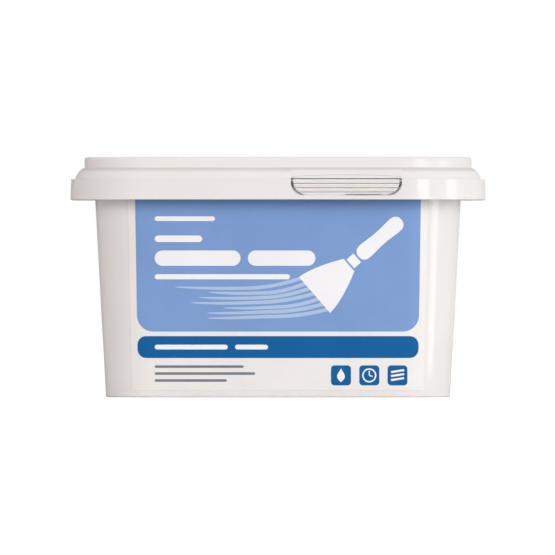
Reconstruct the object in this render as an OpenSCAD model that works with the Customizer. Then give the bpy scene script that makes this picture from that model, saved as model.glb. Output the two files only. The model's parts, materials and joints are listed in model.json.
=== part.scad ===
// A rectangular plastic tub of ready-mixed wall filler, with a lift-off lid and a break-off tab in its collar.
// Millimetres. Z is up, the ground is z = 0, the front with the tab is -Y, and the origin is under the tub's middle.
// Cross sections are drawn as [reach, height]. Reach is the distance outward from the lines that join the
// four corner centres, so one section, swept round the four sides and the four corners, gives every wall.

/* [Base] */
// Outside width of the base, along X
base_w = 189; // [170:1:230]
// Outside depth of the base, along Y
base_d = 136; // [120:1:170]
// Outside corner radius of the base
base_r = 25; // [20:1:32]
// Rounding of the outside bottom edge
base_edge_r = 1.6; // [0.8:0.1:2.4]
// Height of the foot ring under the floor
foot_h = 2; // [1.2:0.1:3]
// Width of the foot ring's flat underside
foot_w = 2.6; // [1.8:0.1:4]
// Radius of the injection point's mark under the floor
gate_r = 4; // [2:0.5:6]
// Height of the injection point's mark
gate_h = 0.7; // [0.3:0.1:1]

/* [Walls] */
// Slope of the walls away from upright, in degrees
draft = 3.1; // [1.5:0.1:4]
// Thickness of the walls
wall_t = 1.4; // [1:0.1:1.8]
// Thickness of the floor
floor_t = 1.6; // [1.2:0.1:2.4]
// Rounding where the walls meet the floor inside
inner_fillet_r = 2; // [1:0.1:3]

/* [Rim] */
// Height of the rim's top
rim_z = 130.4; // [110:0.1:160]
// Thickness of the rim's roof
rim_t = 1.2; // [0.9:0.1:1.6]
// How far the rim's lip stands out from the wall
lip_w = 3.14; // [2.8:0.02:4]
// Thickness of the lip's skirt
lip_t = 1.4; // [1:0.1:1.6]
// Height of the lip's skirt, down from the rim's top
lip_h = 3.9; // [2.8:0.1:4.4]
// Rounding of the rim's outer top edge
rim_edge_r = 0.5; // [0.3:0.05:0.6]

/* [Collar] */
// Height of the collar round the tub
collar_h = 11.35; // [10.5:0.05:14]
// Thickness of the collar
collar_t = 1.6; // [1.3:0.1:2]
// How much wider the collar is on each side at its bottom edge than at its top
collar_flare = 0.45; // [0.2:0.05:0.8]
// Gap between the collar's top and the lid's leg
collar_gap = 0.45; // [0.35:0.05:0.8]
// How far the collar's top lies below the lid's top
collar_drop = 11.95; // [11:0.05:12.2]
// Thickness of the flange that joins the collar to the wall
flange_t = 1.4; // [1:0.1:1.8]
// How far the flange's underside lies above the collar's bottom edge
flange_rise = 5.7; // [5:0.1:5.9]
// Rounding of the collar's outer edges
collar_edge_r = 0.4; // [0.2:0.05:0.6]
// Thickness of the stiffening ribs under the flange
rib_t = 1.2; // [0.8:0.1:1.6]
// Distance between neighbouring ribs on the long sides
rib_pitch = 25; // [18:1:34]
// How far the ribs stop above the collar's bottom edge
rib_lift = 1.2; // [1:0.1:2]
// Clear width between the ribs on the short sides, where a hand lifts the tub
grip_w = 66; // [50:1:72]

/* [Lid] */
// Thickness of the lid
lid_t = 1.2; // [0.9:0.1:1.5]
// Clearance between the lid and the rim, inside and outside
fit_gap = 0.3; // [0.2:0.05:0.5]
// Height of the upright ring round the lid's top, down to its crease
ring_h = 5.7; // [5.2:0.1:6.2]
// Rounding of the ring's outer top edge
ring_edge_r = 1; // [0.5:0.1:1.1]
// Rounding of the ring's inner top edge
recess_edge_r = 0.5; // [0.3:0.05:0.7]
// How far the shoulder spreads below the crease
shoulder_w = 5.3; // [5:0.1:6]
// Radius of the shoulder's curve
shoulder_r = 8.6; // [8:0.1:9.4]
// Height of the lid's leg, the upright edge below its shoulder
leg_h = 0.4; // [0.2:0.1:1.2]
// Depth of the recess that takes the foot of a tub stacked on top
recess_h = 6; // [5:0.1:7]
// How much lower the middle panel lies than the seat round it
panel_step = 1; // [0.6:0.1:1.4]
// Width of the seat that the upper tub's foot stands on, in from the wall of the recess
seat_w = 8.5; // [7:0.1:12]

/* [Pull lip] */
// How far the pull lip runs past the tab at each end
pull_over = 0.3; // [0:0.05:1.1]
// How far the pull lip stands out past the lid's leg
pull_out = 1.9; // [1.2:0.05:2]
// Height of the pull lip at its ends
pull_h = 1.1; // [0.8:0.1:1.6]
// How much higher its top is in the middle than at its ends
pull_arch = 1; // [0.3:0.1:1.2]
// Rounding of the pull lip's outer top edge
pull_edge_r = 0.5; // [0.3:0.05:0.7]
// Gap between the collar's top and the pull lip
pull_gap = 0.2; // [0.15:0.05:0.7]

/* [Tear tab] */
// Distance of the tab's slot from the right end of the straight front
tab_inset = 1.7; // [0.5:0.1:8]
// Width of the tab
tab_w = 58.2; // [48:0.1:60]
// Rounding of the tab's two bottom corners
tab_r = 6.6; // [4.5:0.1:7]
// Width of the slots beside the tab
slot_w = 1.3; // [0.8:0.1:1.6]
// Height of the slot under the tab
hinge_h = 0.5; // [0.4:0.05:0.8]
// Height of the strip of collar that is left under the slot
sill_h = 2.45; // [2.2:0.05:3.2]
// How far the tab's top lies below the collar's top
tab_set = 0.3; // [0:0.05:0.4]
// Number of grip grooves across the tab's face
groove_count = 3; // [2:1:4]
// Depth of the grip grooves
groove_d = 1; // [0.3:0.05:1.05]
// Width of the grip grooves
groove_w = 0.45; // [0.3:0.05:0.9]
// How far the ridges between the grooves are crowned
ridge_crown = 0.12; // [0.05:0.01:0.2]
// Height of the lowest groove above the tab's bottom edge
groove_z = 1.1; // [0.8:0.1:1.8]
// Distance of the hinge web from the tab's left edge
web_x = 6.1; // [5:0.1:10]
// Length of the hinge web
web_w = 22.5; // [16:0.1:26]
// Thickness of the hinge web
web_t = 0.35; // [0.25:0.05:0.5]
// Length of the lower break-off bridge
bridge_w = 3.2; // [2:0.1:5]
// Height of the upper break-off bridges
bridge_h = 0.5; // [0.3:0.05:0.7]
// Thickness of the break-off bridges
bridge_t = 0.8; // [0.5:0.05:1]
// How far the upper bridges lie below the tab's top
bridge_drop = 0.5; // [0.4:0.05:0.8]
// Depth of the finger notch in the flange behind the tab
notch_d = 7; // [6:0.1:7.4]

/* [Labels] */
// Thickness of the printed film
film_t = 0.15; // [0.1:0.01:0.25]
// Height of the film's bottom edge above the ground
film_z = 4; // [3:0.5:12]
// Gap between the film's top edge and the ribs over it
film_top_gap = 0.3; // [0.2:0.05:1]
// How far the film runs round each corner, in degrees
film_wrap = 24; // [10:1:40]
// Clearance behind the film
film_gap = 0.03; // [0.02:0.01:0.06]

/* [Contents] */
// Air space between the sheet on the filler and the lid's panel
headspace = 6; // [2:0.5:60]
// Clearance between the filler and the walls
fill_gap = 0.3; // [0.2:0.05:0.6]
// Thickness of the loose sheet that keeps the filler from drying
sheet_t = 0.15; // [0.1:0.01:0.3]
// Distance of the sheet's edge from the walls
sheet_gap = 1.5; // [1:0.1:6]

/* [Hidden] */
$fn = 96;
// How far a cut runs past the face that it opens
over = 1;
// How far a rib or lip is rooted in the wall that carries it
root_share = 0.5;
// Steps in the pull lip's arched top
arch_steps = 16;

// Half distances between the corner centres
cx = base_w / 2 - base_r;
cy = base_d / 2 - base_r;
slope = tan(draft);
wall_reach_t = wall_t / cos(draft);
floor_top = foot_h + floor_t;
// The base edge's circle touches the ground and the sloping wall
edge_reach = base_r + base_edge_r * slope - base_edge_r / cos(draft);
foot_in = edge_reach - foot_w;

// Rim and lid, from the wall outward
lip_out = wall_out(rim_z) + lip_w;
ring_in = lip_out + fit_gap;
ring_out = ring_in + lid_t;
leg_out = ring_out + shoulder_w;
lid_top = rim_z + lid_t;
crease_z = lid_top - ring_h;
shoulder_reach = leg_out - shoulder_r;
shoulder_z = crease_z - sqrt(pow(shoulder_r, 2) - pow(ring_out - shoulder_reach, 2));
seat_top = lid_top - recess_h;
seat_low = seat_top - lid_t;
seat_in = plug_in(seat_top) - seat_w;
panel_top = seat_top - panel_step;
panel_low = panel_top - lid_t;

// Collar and flange
collar_top = lid_top - collar_drop;
collar_low = collar_top - collar_h;
collar_out_top = leg_out + collar_gap + collar_t;
flange_low = collar_low + flange_rise;
flange_top = flange_low + flange_t;
leg_low = shoulder_z - leg_h;
rib_low = collar_low + rib_lift;

// Tab, hinge and bridges
tab_x = cx - tab_inset - slot_w - tab_w / 2;
slot_low = collar_low + sill_h;
tab_low = slot_low + hinge_h;
tab_top = collar_top - tab_set;
tab_left = tab_x - tab_w / 2;
tab_right = tab_x + tab_w / 2;
hinge_z = slot_low + hinge_h / 2;
hinge_reach = collar_out(hinge_z);
groove_pitch = (tab_top - tab_low - groove_z) / groove_count;
bridge_top = tab_top - bridge_drop;
notch_in = collar_in(flange_low) - notch_d;
pull_w = tab_w + 2 * pull_over;
pull_low = collar_top + pull_gap;
pull_root = shoulder_out(pull_low + pull_h) - lid_t * root_share;

// Labels and contents
film_top = rib_low - film_top_gap;
fill_top = panel_low - headspace - sheet_t;

// Reach of the tub's outer and inner faces, of the lid's plug and of the collar, at a height
function wall_out(z) = base_r + z * slope;
function wall_in(z) = wall_out(z) - wall_reach_t;
function plug_out(z) = wall_in(z) - fit_gap;
function plug_in(z) = plug_out(z) - lid_t / cos(draft);
function collar_out(z) = collar_out_top + (collar_top - z) / collar_h * collar_flare;
function collar_in(z) = collar_out(z) - collar_t;
// Reach of the lid's shoulder at a height
function shoulder_out(z) = shoulder_reach + sqrt(pow(shoulder_r, 2) - pow(z - shoulder_z, 2));

// Sweeps a section round the four straight sides and the four corners
module round_rect_sweep() {
    for (k = [0:3]) {
        a = k % 2 == 0 ? cx : cy;
        b = k % 2 == 0 ? cy : cx;
        rotate([0, 0, 90 * k]) translate([a, b, 0]) {
            rotate([90, 0, 0]) linear_extrude(height = 2 * b) children();
            rotate_extrude(angle = 90) children();
        }
    }
}

// Fills the middle, between the corner centres, from one height to another
module middle(low, high) {
    translate([-cx, -cy, low]) cube([2 * cx, 2 * cy, high - low]);
}

// A rectangle in a section, between two reaches and two heights
module block(r0, r1, z0, z1) {
    translate([r0, z0]) square([r1 - r0, z1 - z0]);
}

// What rounding takes off a square corner at [r, z]; side and up are 1 or -1 and point into the solid
module corner_waste(r, z, side, up, radius) {
    difference() {
        translate([r, z]) scale_square(side, up, radius);
        translate([r + side * radius, z + up * radius]) circle(r = radius);
    }
}

// A square from a corner point towards side and up, with a little past the corner
module scale_square(side, up, size) {
    spare = size * root_share;
    x0 = side > 0 ? -spare : -size;
    y0 = up > 0 ? -spare : -size;
    translate([x0, y0]) square(size + spare);
}

// Places a child drawn with X as reach and Y as the distance to the right, on the front side
module on_front() {
    translate([0, -cy, 0]) rotate([0, 0, -90]) children();
}

// Carries a section along the front side, from one place to another
module along_front(x0, x1) {
    translate([0, x1, 0]) rotate([90, 0, 0]) linear_extrude(height = x1 - x0) children();
}

// Carries an outline seen from the front outward, from one reach to another
module outward(r0, r1) {
    translate([r0, 0, 0]) rotate([90, 0, 90]) linear_extrude(height = r1 - r0) children();
}

// Outline of a tongue with two rounded bottom corners
module tongue(mid, width, radius, low, high) {
    translate([mid - width / 2, low + radius]) square([width, high - low - radius]);
    translate([mid - width / 2 + radius, low]) square([width - 2 * radius, high - low]);
    for (side = [-1, 1]) {
        translate([mid + side * (width / 2 - radius), low + radius]) circle(r = radius);
    }
}

// Section of the wall, with its foot, its bottom edge and the folded rim that the lid hooks over
module wall_section() {
    roof_low = rim_z - rim_t;
    skirt_low = rim_z - lip_h;
    translate([edge_reach, base_edge_r]) circle(r = base_edge_r);
    difference() {
        polygon([
            [foot_in, 0],
            [edge_reach, 0],
            [edge_reach, base_edge_r],
            [edge_reach + base_edge_r * cos(draft), base_edge_r - base_edge_r * sin(draft)],
            [wall_out(roof_low), roof_low],
            [lip_out - lip_t, roof_low],
            [lip_out - lip_t, skirt_low],
            [lip_out, skirt_low],
            [lip_out, rim_z],
            [wall_in(rim_z), rim_z],
            [wall_in(floor_top), floor_top],
            [foot_in, floor_top]
        ]);
        corner_waste(lip_out, rim_z, -1, -1, rim_edge_r);
    }
}

// Section of the rounding between the floor and the wall inside
module fillet_section() {
    circle_z = floor_top + inner_fillet_r;
    circle_reach = wall_in(circle_z) - inner_fillet_r / cos(draft);
    difference() {
        polygon([
            [circle_reach, foot_h],
            [wall_in(floor_top), foot_h],
            [wall_in(circle_z), circle_z],
            [circle_reach, circle_z]
        ]);
        translate([circle_reach, circle_z]) circle(r = inner_fillet_r);
    }
}

// Section of the flange and the collar
module collar_section() {
    block(wall_in(flange_low) + wall_t * root_share, collar_in(flange_low) + collar_t * root_share,
        flange_low, flange_top);
    difference() {
        polygon([
            [collar_in(collar_low), collar_low],
            [collar_out(collar_low), collar_low],
            [collar_out(collar_top), collar_top],
            [collar_in(collar_top), collar_top]
        ]);
        corner_waste(collar_out(collar_low), collar_low, -1, 1, collar_edge_r);
        corner_waste(collar_out(collar_top), collar_top, -1, -1, collar_edge_r);
    }
}

// Section of a rib between the wall and the collar
module rib_section() {
    root = wall_t * root_share;
    polygon([
        [wall_out(rib_low) - root, rib_low],
        [collar_in(rib_low) + root, rib_low],
        [collar_in(flange_low) + root, flange_low + root],
        [wall_out(flange_low) - root, flange_low + root]
    ]);
}

// One rib, standing upright across the channel under the flange
module rib() {
    translate([0, rib_t / 2, 0]) rotate([90, 0, 0]) linear_extrude(height = rib_t) rib_section();
}

// All ribs: a row on each long side, one at each end of the hand grips and two at each corner
module ribs() {
    half_count = floor(cx / rib_pitch);
    for (side = [-1, 1], k = [-half_count:half_count]) {
        place = side * k * rib_pitch;
        if (side > 0 || place < tab_left - rib_pitch / 2 || place > tab_right + rib_pitch / 2) {
            rotate([0, 0, 90 * side]) translate([cy, side > 0 ? -place : place, 0]) rib();
        }
    }
    for (side = [0, 1], end = [-1, 1]) {
        rotate([0, 0, 180 * side]) translate([cx, end * (grip_w + rib_t) / 2, 0]) rib();
    }
    for (sx = [-1, 1], sy = [-1, 1], turn = [30, 60]) {
        translate([sx * cx, sy * cy, 0]) rotate([0, 0, atan2(sy, sx) + turn - 45]) rib();
    }
}

// The tub, one moulding with its rim, flange, collar and ribs
module tub() {
    color([0.93, 0.91, 0.9]) difference() {
        union() {
            round_rect_sweep() {
                wall_section();
                fillet_section();
                collar_section();
                block(0, foot_in, foot_h, floor_top);
            }
            middle(foot_h, floor_top);
            translate([0, 0, foot_h - gate_h]) cylinder(r = gate_r, h = gate_h);
            ribs();
        }
        on_front() {
            outward(leg_out, collar_out(collar_low) + over) {
                tongue(tab_x, tab_w + 2 * slot_w, tab_r + hinge_h, slot_low, collar_top + over);
            }
            along_front(tab_left - slot_w, tab_right + slot_w) {
                block(notch_in, leg_out + over * root_share, flange_low - over, flange_top + over);
            }
        }
    }
}

// Section of the tab: the collar's own section with grip grooves in its face and crowned ridges between them
module tab_section() {
    // Each groove's two lips with its bottom between them, and then the ridge above it
    heights = [-groove_w / 2, 0, groove_w / 2, groove_pitch / 2];
    depths = [ridge_crown, groove_d, ridge_crown, 0];
    polygon(concat(
        [[collar_in(tab_low), tab_low], [collar_out(tab_low), tab_low]],
        [for (k = [0:groove_count - 1], point = [0:3])
            let (z = tab_low + groove_z + k * groove_pitch + heights[point])
            [collar_out(z) - depths[point], z]],
        [[collar_out(tab_top), tab_top], [collar_in(tab_top), tab_top]]
    ));
}

// The break-off tab
module tear_tab() {
    color([0.93, 0.9, 0.89]) on_front() intersection() {
        along_front(tab_left, tab_right) tab_section();
        outward(leg_out, collar_out(collar_low)) tongue(tab_x, tab_w, tab_r, tab_low, tab_top);
    }
}

// The thin web that the tab folds on, flush with the collar's face
module tab_hinge() {
    color([0.95, 0.93, 0.91]) on_front() along_front(tab_left + web_x, tab_left + web_x + web_w) {
        block(hinge_reach - web_t, hinge_reach, slot_low, tab_low);
    }
}

// The bridges that break when the tab is pulled out
module tab_bridges() {
    inset = (collar_t - bridge_t) / 2;
    color([0.95, 0.93, 0.91]) on_front() {
        for (x0 = [tab_left - slot_w, tab_right]) along_front(x0, x0 + slot_w) {
            block(collar_in(bridge_top) + inset, collar_in(bridge_top) + inset + bridge_t,
                bridge_top - bridge_h, bridge_top);
        }
        along_front(tab_right - tab_r - bridge_w, tab_right - tab_r) {
            block(collar_in(slot_low) + inset, collar_in(slot_low) + inset + bridge_t, slot_low, tab_low);
        }
    }
}

// Section of the lid from its seat outward: plug, roof, ring, shoulder and leg
module lid_section() {
    ring_low = crease_z - lid_t * root_share / 2;
    difference() {
        polygon([
            [plug_in(seat_low), seat_low],
            [plug_out(seat_low), seat_low],
            [plug_out(rim_z), rim_z],
            [ring_in, rim_z],
            [ring_in, ring_low],
            [ring_out, ring_low],
            [ring_out, lid_top],
            [plug_in(lid_top), lid_top]
        ]);
        corner_waste(ring_out, lid_top, -1, -1, ring_edge_r);
        corner_waste(plug_in(lid_top), lid_top, 1, -1, recess_edge_r);
    }
    intersection() {
        difference() {
            translate([shoulder_reach, shoulder_z]) circle(r = shoulder_r);
            translate([shoulder_reach, shoulder_z]) circle(r = shoulder_r - lid_t);
        }
        block(ring_in, leg_out + over, shoulder_z, lid_top);
    }
    block(leg_out - lid_t, leg_out, leg_low, shoulder_z);
    block(seat_in, plug_in(seat_top), seat_low, seat_top);
    block(seat_in - lid_t, seat_in, panel_low, seat_top);
    block(0, seat_in, panel_low, panel_top);
}

// The lip that a finger pulls up once the tab is gone; its back lies on the lid's shoulder
module pull_lip() {
    top = pull_low + pull_h + pull_arch;
    out = leg_out + pull_out;
    color([0.91, 0.9, 0.89]) on_front() intersection() {
        along_front(tab_x - pull_w / 2, tab_x + pull_w / 2) difference() {
            block(pull_root, out, pull_low, top);
            translate([shoulder_reach, shoulder_z]) circle(r = shoulder_r);
            translate([0, -pull_arch]) corner_waste(out, top, -1, -1, pull_edge_r);
            block(out - pull_edge_r, out + over, top - pull_arch, top + over);
        }
        outward(pull_root, out) polygon(concat(
            [[tab_x + pull_w / 2, pull_low], [tab_x - pull_w / 2, pull_low]],
            [for (k = [0:arch_steps])
                let (share = 2 * k / arch_steps - 1)
                [tab_x + share * pull_w / 2, top - pull_arch * pow(share, 2)]]
        ));
    }
}

// The lid, with its stacking recess; behind the tab its leg is cut away up to the pull lip
module lid() {
    color([0.91, 0.9, 0.89]) difference() {
        union() {
            round_rect_sweep() lid_section();
            middle(panel_low, panel_top);
            translate([0, 0, panel_top]) cylinder(r = gate_r, h = gate_h / 2);
        }
        on_front() along_front(tab_left - slot_w, tab_right + slot_w) {
            block(ring_in, leg_out + over, leg_low - over, pull_low);
        }
    }
}

// Section of the printed film on the wall
module film_section() {
    polygon([
        [wall_out(film_z) + film_gap, film_z],
        [wall_out(film_z) + film_gap + film_t, film_z],
        [wall_out(film_top) + film_gap + film_t, film_top],
        [wall_out(film_top) + film_gap, film_top]
    ]);
}

// A label: one long side with a stretch of each corner beside it
module label() {
    on_front() along_front(-cx, cx) film_section();
    for (side = [0, 1]) mirror([side, 0, 0]) {
        translate([cx, -cy, 0]) rotate([0, 0, -90]) rotate_extrude(angle = film_wrap) film_section();
    }
}

module front_label() {
    color([0.49, 0.61, 0.8]) label();
}

module rear_label() {
    color([0.49, 0.61, 0.8]) rotate([0, 0, 180]) label();
}

// The filler: it fills the tub up to its level, with its bottom edge clear of the fillet
module filler_paste() {
    cut = inner_fillet_r + fill_gap;
    color([0.95, 0.94, 0.91]) union() {
        round_rect_sweep() polygon([
            [0, floor_top],
            [wall_in(floor_top) - fill_gap - cut, floor_top],
            [wall_in(floor_top + cut) - fill_gap, floor_top + cut],
            [wall_in(fill_top) - fill_gap, fill_top],
            [0, fill_top]
        ]);
        middle(floor_top, fill_top);
    }
}

// The loose sheet that lies on the filler
module cover_film() {
    color([0.9, 0.92, 0.93]) union() {
        round_rect_sweep() block(0, wall_in(fill_top) - sheet_gap, fill_top, fill_top + sheet_t);
        middle(fill_top, fill_top + sheet_t);
    }
}

tub();
tear_tab();
tab_hinge();
tab_bridges();
lid();
pull_lip();
front_label();
rear_label();
filler_paste();
cover_film();
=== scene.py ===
"""Dresses the wall filler tub: its visible surfaces, their finishes, the studio and the camera.

Most shapes are paths of (reach, height) points carried round the tub. Reach is the distance outward from the
rectangle that joins the four corner centres, and a negative reach draws that rectangle in towards its middle.
"""
import json
import math

import bmesh
import bpy
import numpy as np
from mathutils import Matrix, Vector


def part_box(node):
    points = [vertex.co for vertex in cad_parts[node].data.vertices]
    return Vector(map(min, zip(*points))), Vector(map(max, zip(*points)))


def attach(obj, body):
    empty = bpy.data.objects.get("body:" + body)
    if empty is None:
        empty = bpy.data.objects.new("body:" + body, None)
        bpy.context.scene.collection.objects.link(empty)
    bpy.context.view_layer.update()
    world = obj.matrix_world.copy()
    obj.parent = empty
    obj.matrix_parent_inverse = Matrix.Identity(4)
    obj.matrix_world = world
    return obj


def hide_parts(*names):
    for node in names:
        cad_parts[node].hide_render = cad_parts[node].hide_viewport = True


bl_info = {
    "name": "Wall filler tub",
    "version": (1, 0, 0),
    "blender": (4, 5, 0),
    "location": "3D View > Sidebar > Filler tub",
    "description": "Makes a rectangular tub of wall filler with its lid, tear tab, labels and contents",
    "category": "Add Mesh",
}

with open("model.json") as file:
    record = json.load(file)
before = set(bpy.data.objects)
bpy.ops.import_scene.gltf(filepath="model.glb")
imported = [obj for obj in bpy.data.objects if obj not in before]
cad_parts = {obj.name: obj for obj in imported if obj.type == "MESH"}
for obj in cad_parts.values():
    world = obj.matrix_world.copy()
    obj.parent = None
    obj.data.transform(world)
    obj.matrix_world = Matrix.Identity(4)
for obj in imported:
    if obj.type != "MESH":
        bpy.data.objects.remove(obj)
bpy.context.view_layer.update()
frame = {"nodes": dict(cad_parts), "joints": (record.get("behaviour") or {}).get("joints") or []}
MM = 0.001
WELD = 0.002 * MM
# The largest rounding that counts as an edge, which handling rubs
WIDEST_EDGE = 3 * MM
FRONT, REAR = 1, -1
# The photograph's width in pixels, the size of one of them on the tub, and the camera's place across and up
PICTURE = 555
PIXEL = 0.5491 * MM
CAMERA_X, CAMERA_Z = -0.27 * MM, 65.6 * MM
# The label's margin on the left, the step from one picture square to the next, and the height of small print
PRINT_MARGIN, ICON_STEP, SMALL_PRINT = 10 * MM, 15.5 * MM, 1.4 * MM
# The height of the point that the softboxes face
AIM_Z = 65 * MM
WHITE = (1, 1, 1, 1)
# The light tent's glow low in front, behind and on the right, and then higher up in front, on the left, on
# the right and overhead
TENT_FRONT, TENT_BACK, TENT_RIGHT = 3.42, 2.5, 0.4
TENT_HIGH_FRONT, TENT_HIGH_LEFT, TENT_HIGH_RIGHT, TENT_TOP = 0.54, 0.04, 0.4, 0.77


def linear(*srgb):
    """Turns a colour in 0 to 255 into Blender's linear values."""
    c = np.array(srgb) / 255
    return tuple(np.where(c <= 0.04045, c / 12.92, ((c + 0.055) / 1.055) ** 2.4).tolist())


def length(name, description, mm):
    """A size property, kept in metres and given here in millimetres."""
    return bpy.props.FloatProperty(name=name, description=description, default=mm * MM, min=0, unit="LENGTH")


def colour(name, description, *srgb):
    """A colour property, given here in 0 to 255."""
    return bpy.props.FloatVectorProperty(
        name=name, description=description, default=linear(*srgb), size=3, min=0, max=1, subtype="COLOR"
    )


class FillerTubSizes(bpy.types.PropertyGroup):
    base_w: length("Base width", "Outside width of the base", 189)
    base_d: length("Base depth", "Outside depth of the base", 136)
    base_r: length("Corner radius", "Outside corner radius of the base", 25)
    draft: bpy.props.FloatProperty(
        name="Draft", description="Slope of the walls", default=math.radians(3.1), subtype="ANGLE"
    )
    wall_t: length("Wall", "Thickness of the walls", 1.4)
    floor_t: length("Floor", "Thickness of the floor", 1.6)
    foot_w: length("Foot width", "Width of the foot ring's flat underside", 2.6)
    base_edge_r: length("Base edge", "Rounding of the outside bottom edge", 0.9)
    rim_t: length("Rim roof", "Thickness of the rim's roof", 1.2)
    lip_w: length("Rim lip", "How far the rim's lip stands out", 3.14)
    lip_t: length("Lip thickness", "Thickness of the lip's skirt", 1.4)
    lip_h: length("Lip height", "Height of the lip's skirt", 3.9)
    collar_h: length("Collar height", "Height of the collar", 11.35)
    collar_t: length("Collar thickness", "Thickness of the collar", 1.6)
    collar_flare: length("Collar flare", "How much wider the collar is at its bottom edge", 0.45)
    collar_gap: length("Collar gap", "Gap between the collar's top and the lid's leg", 0.45)
    collar_drop: length("Collar drop", "How far the collar's top lies below the lid's top", 11.95)
    flange_t: length("Flange thickness", "Thickness of the flange under the lid's leg", 1.4)
    flange_rise: length("Flange rise", "Height of the flange above the collar's bottom edge", 5.7)
    rib_t: length("Rib thickness", "Thickness of the ribs under the flange", 1.2)
    rib_pitch: length("Rib pitch", "Distance between ribs on the long sides", 25)
    rib_lift: length("Rib lift", "How far the ribs stop above the collar's bottom edge", 1.2)
    grip_w: length("Hand grip", "Clear width between the ribs on the short sides", 66)
    lid_t: length("Lid thickness", "Thickness of the lid", 1.2)
    fit_gap: length("Lid clearance", "Clearance between lid and rim", 0.3)
    ring_h: length("Ring height", "Height of the upright ring round the lid's top", 5.7)
    ring_edge_r: length("Ring edge", "Rounding of the ring's outer top edge", 1.5)
    shoulder_w: length("Shoulder width", "How far the shoulder spreads below the crease", 5.3)
    shoulder_r: length("Shoulder radius", "Radius of the shoulder's curve", 8.6)
    recess_h: length("Recess", "Depth of the stacking recess", 6)
    panel_step: length("Panel step", "How much lower the middle panel lies than its seat", 1)
    panel_sag: length("Panel sag", "How far the thin middle panel sags", 0.35)
    seat_w: length("Seat width", "Width of the seat for the tub stacked on top", 8.5)
    pull_over: length("Pull lip overrun", "How far the pull lip runs past the tab at each end", 0.3)
    pull_out: length("Pull lip reach", "How far the pull lip stands out past the leg", 1.9)
    pull_h: length("Pull lip height", "Height of the pull lip at its ends", 1.1)
    pull_arch: length("Pull lip arch", "How much higher it is in its middle", 1)
    pull_gap: length("Pull lip gap", "Gap between the collar's top and the pull lip", 0.2)
    tab_r: length("Tab corners", "Rounding of the tab's bottom corners", 6.6)
    slot_w: length("Tab slot", "Width of the slots beside the tab", 1.3)
    groove_z: length("Lowest groove", "Height of the lowest groove above the tab's bottom edge", 1.1)
    groove_d: length("Groove depth", "Depth of the tab's grip grooves", 1)
    groove_w: length("Groove width", "Width of the tab's grip grooves", 0.45)
    ridge_crown: length("Ridge crown", "How far the ridges between the grooves are crowned", 0.12)
    groove_count: bpy.props.IntProperty(
        name="Grooves", description="Number of grip grooves", default=3, min=1
    )
    notch_d: length("Finger notch", "Depth of the notch in the flange behind the tab", 7)
    film_t: length("Film", "Thickness of the printed film", 0.15)
    film_gap: length("Film gap", "Clearance behind the film", 0.03)
    film_wrap: bpy.props.FloatProperty(
        name="Film wrap",
        description="How far the film runs round a corner",
        default=math.radians(24),
        subtype="ANGLE",
    )
    ink_t: length("Ink", "Thickness of one layer of ink", 0.03)
    print_half: length("Print half width", "Half the width of the printed field", 77.5)
    field_low: length("Field bottom", "Height of the light blue field's bottom edge", 36)
    field_r: length("Field corners", "Rounding of the field's bottom corners", 9)
    stripe_low: length("Stripe bottom", "Height of the dark blue stripe's bottom edge", 21.5)
    stripe_h: length("Stripe height", "Height of the dark blue stripe", 12)
    icon: length("Picture square", "Width of the small picture squares", 11)
    fill_gap: length("Filler clearance", "Clearance between the filler and the walls", 0.3)
    trowel_d: length("Trowel marks", "Depth of the trowel's marks in the filler", 1)
    sheet_gap: length("Sheet clearance", "Distance of the loose sheet's edge from the walls", 1.5)
    sheet_t: length("Sheet", "Thickness of the loose sheet", 0.15)
    sheet_wave: length("Sheet waves", "Height of the loose sheet's waves", 0.7)


class FillerTubColours(bpy.types.PropertyGroup):
    plastic: colour("Plastic", "White of the tub and the lid", 236, 234, 233)
    plastic_shade: colour("Plastic shade", "Warmer white that clouds the plastic", 234, 231, 229)
    paper: colour("Film white", "White of the printed film", 242, 240, 237)
    pale: colour("Light blue", "Light blue of the label's field", 127, 162, 214)
    tint: colour("Smear blue", "Lighter blue of the smear on the field", 178, 200, 231)
    deep: colour("Dark blue", "Dark blue of the label's band", 8, 97, 160)
    bright: colour("Print white", "White of the print on the field", 248, 249, 252)
    grey: colour("Print grey", "Grey of the small print", 120, 128, 140)
    filler: colour("Filler", "Off-white of the filler", 240, 237, 229)
    floor: colour("Floor", "Pale floor", 200, 200, 200)


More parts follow.
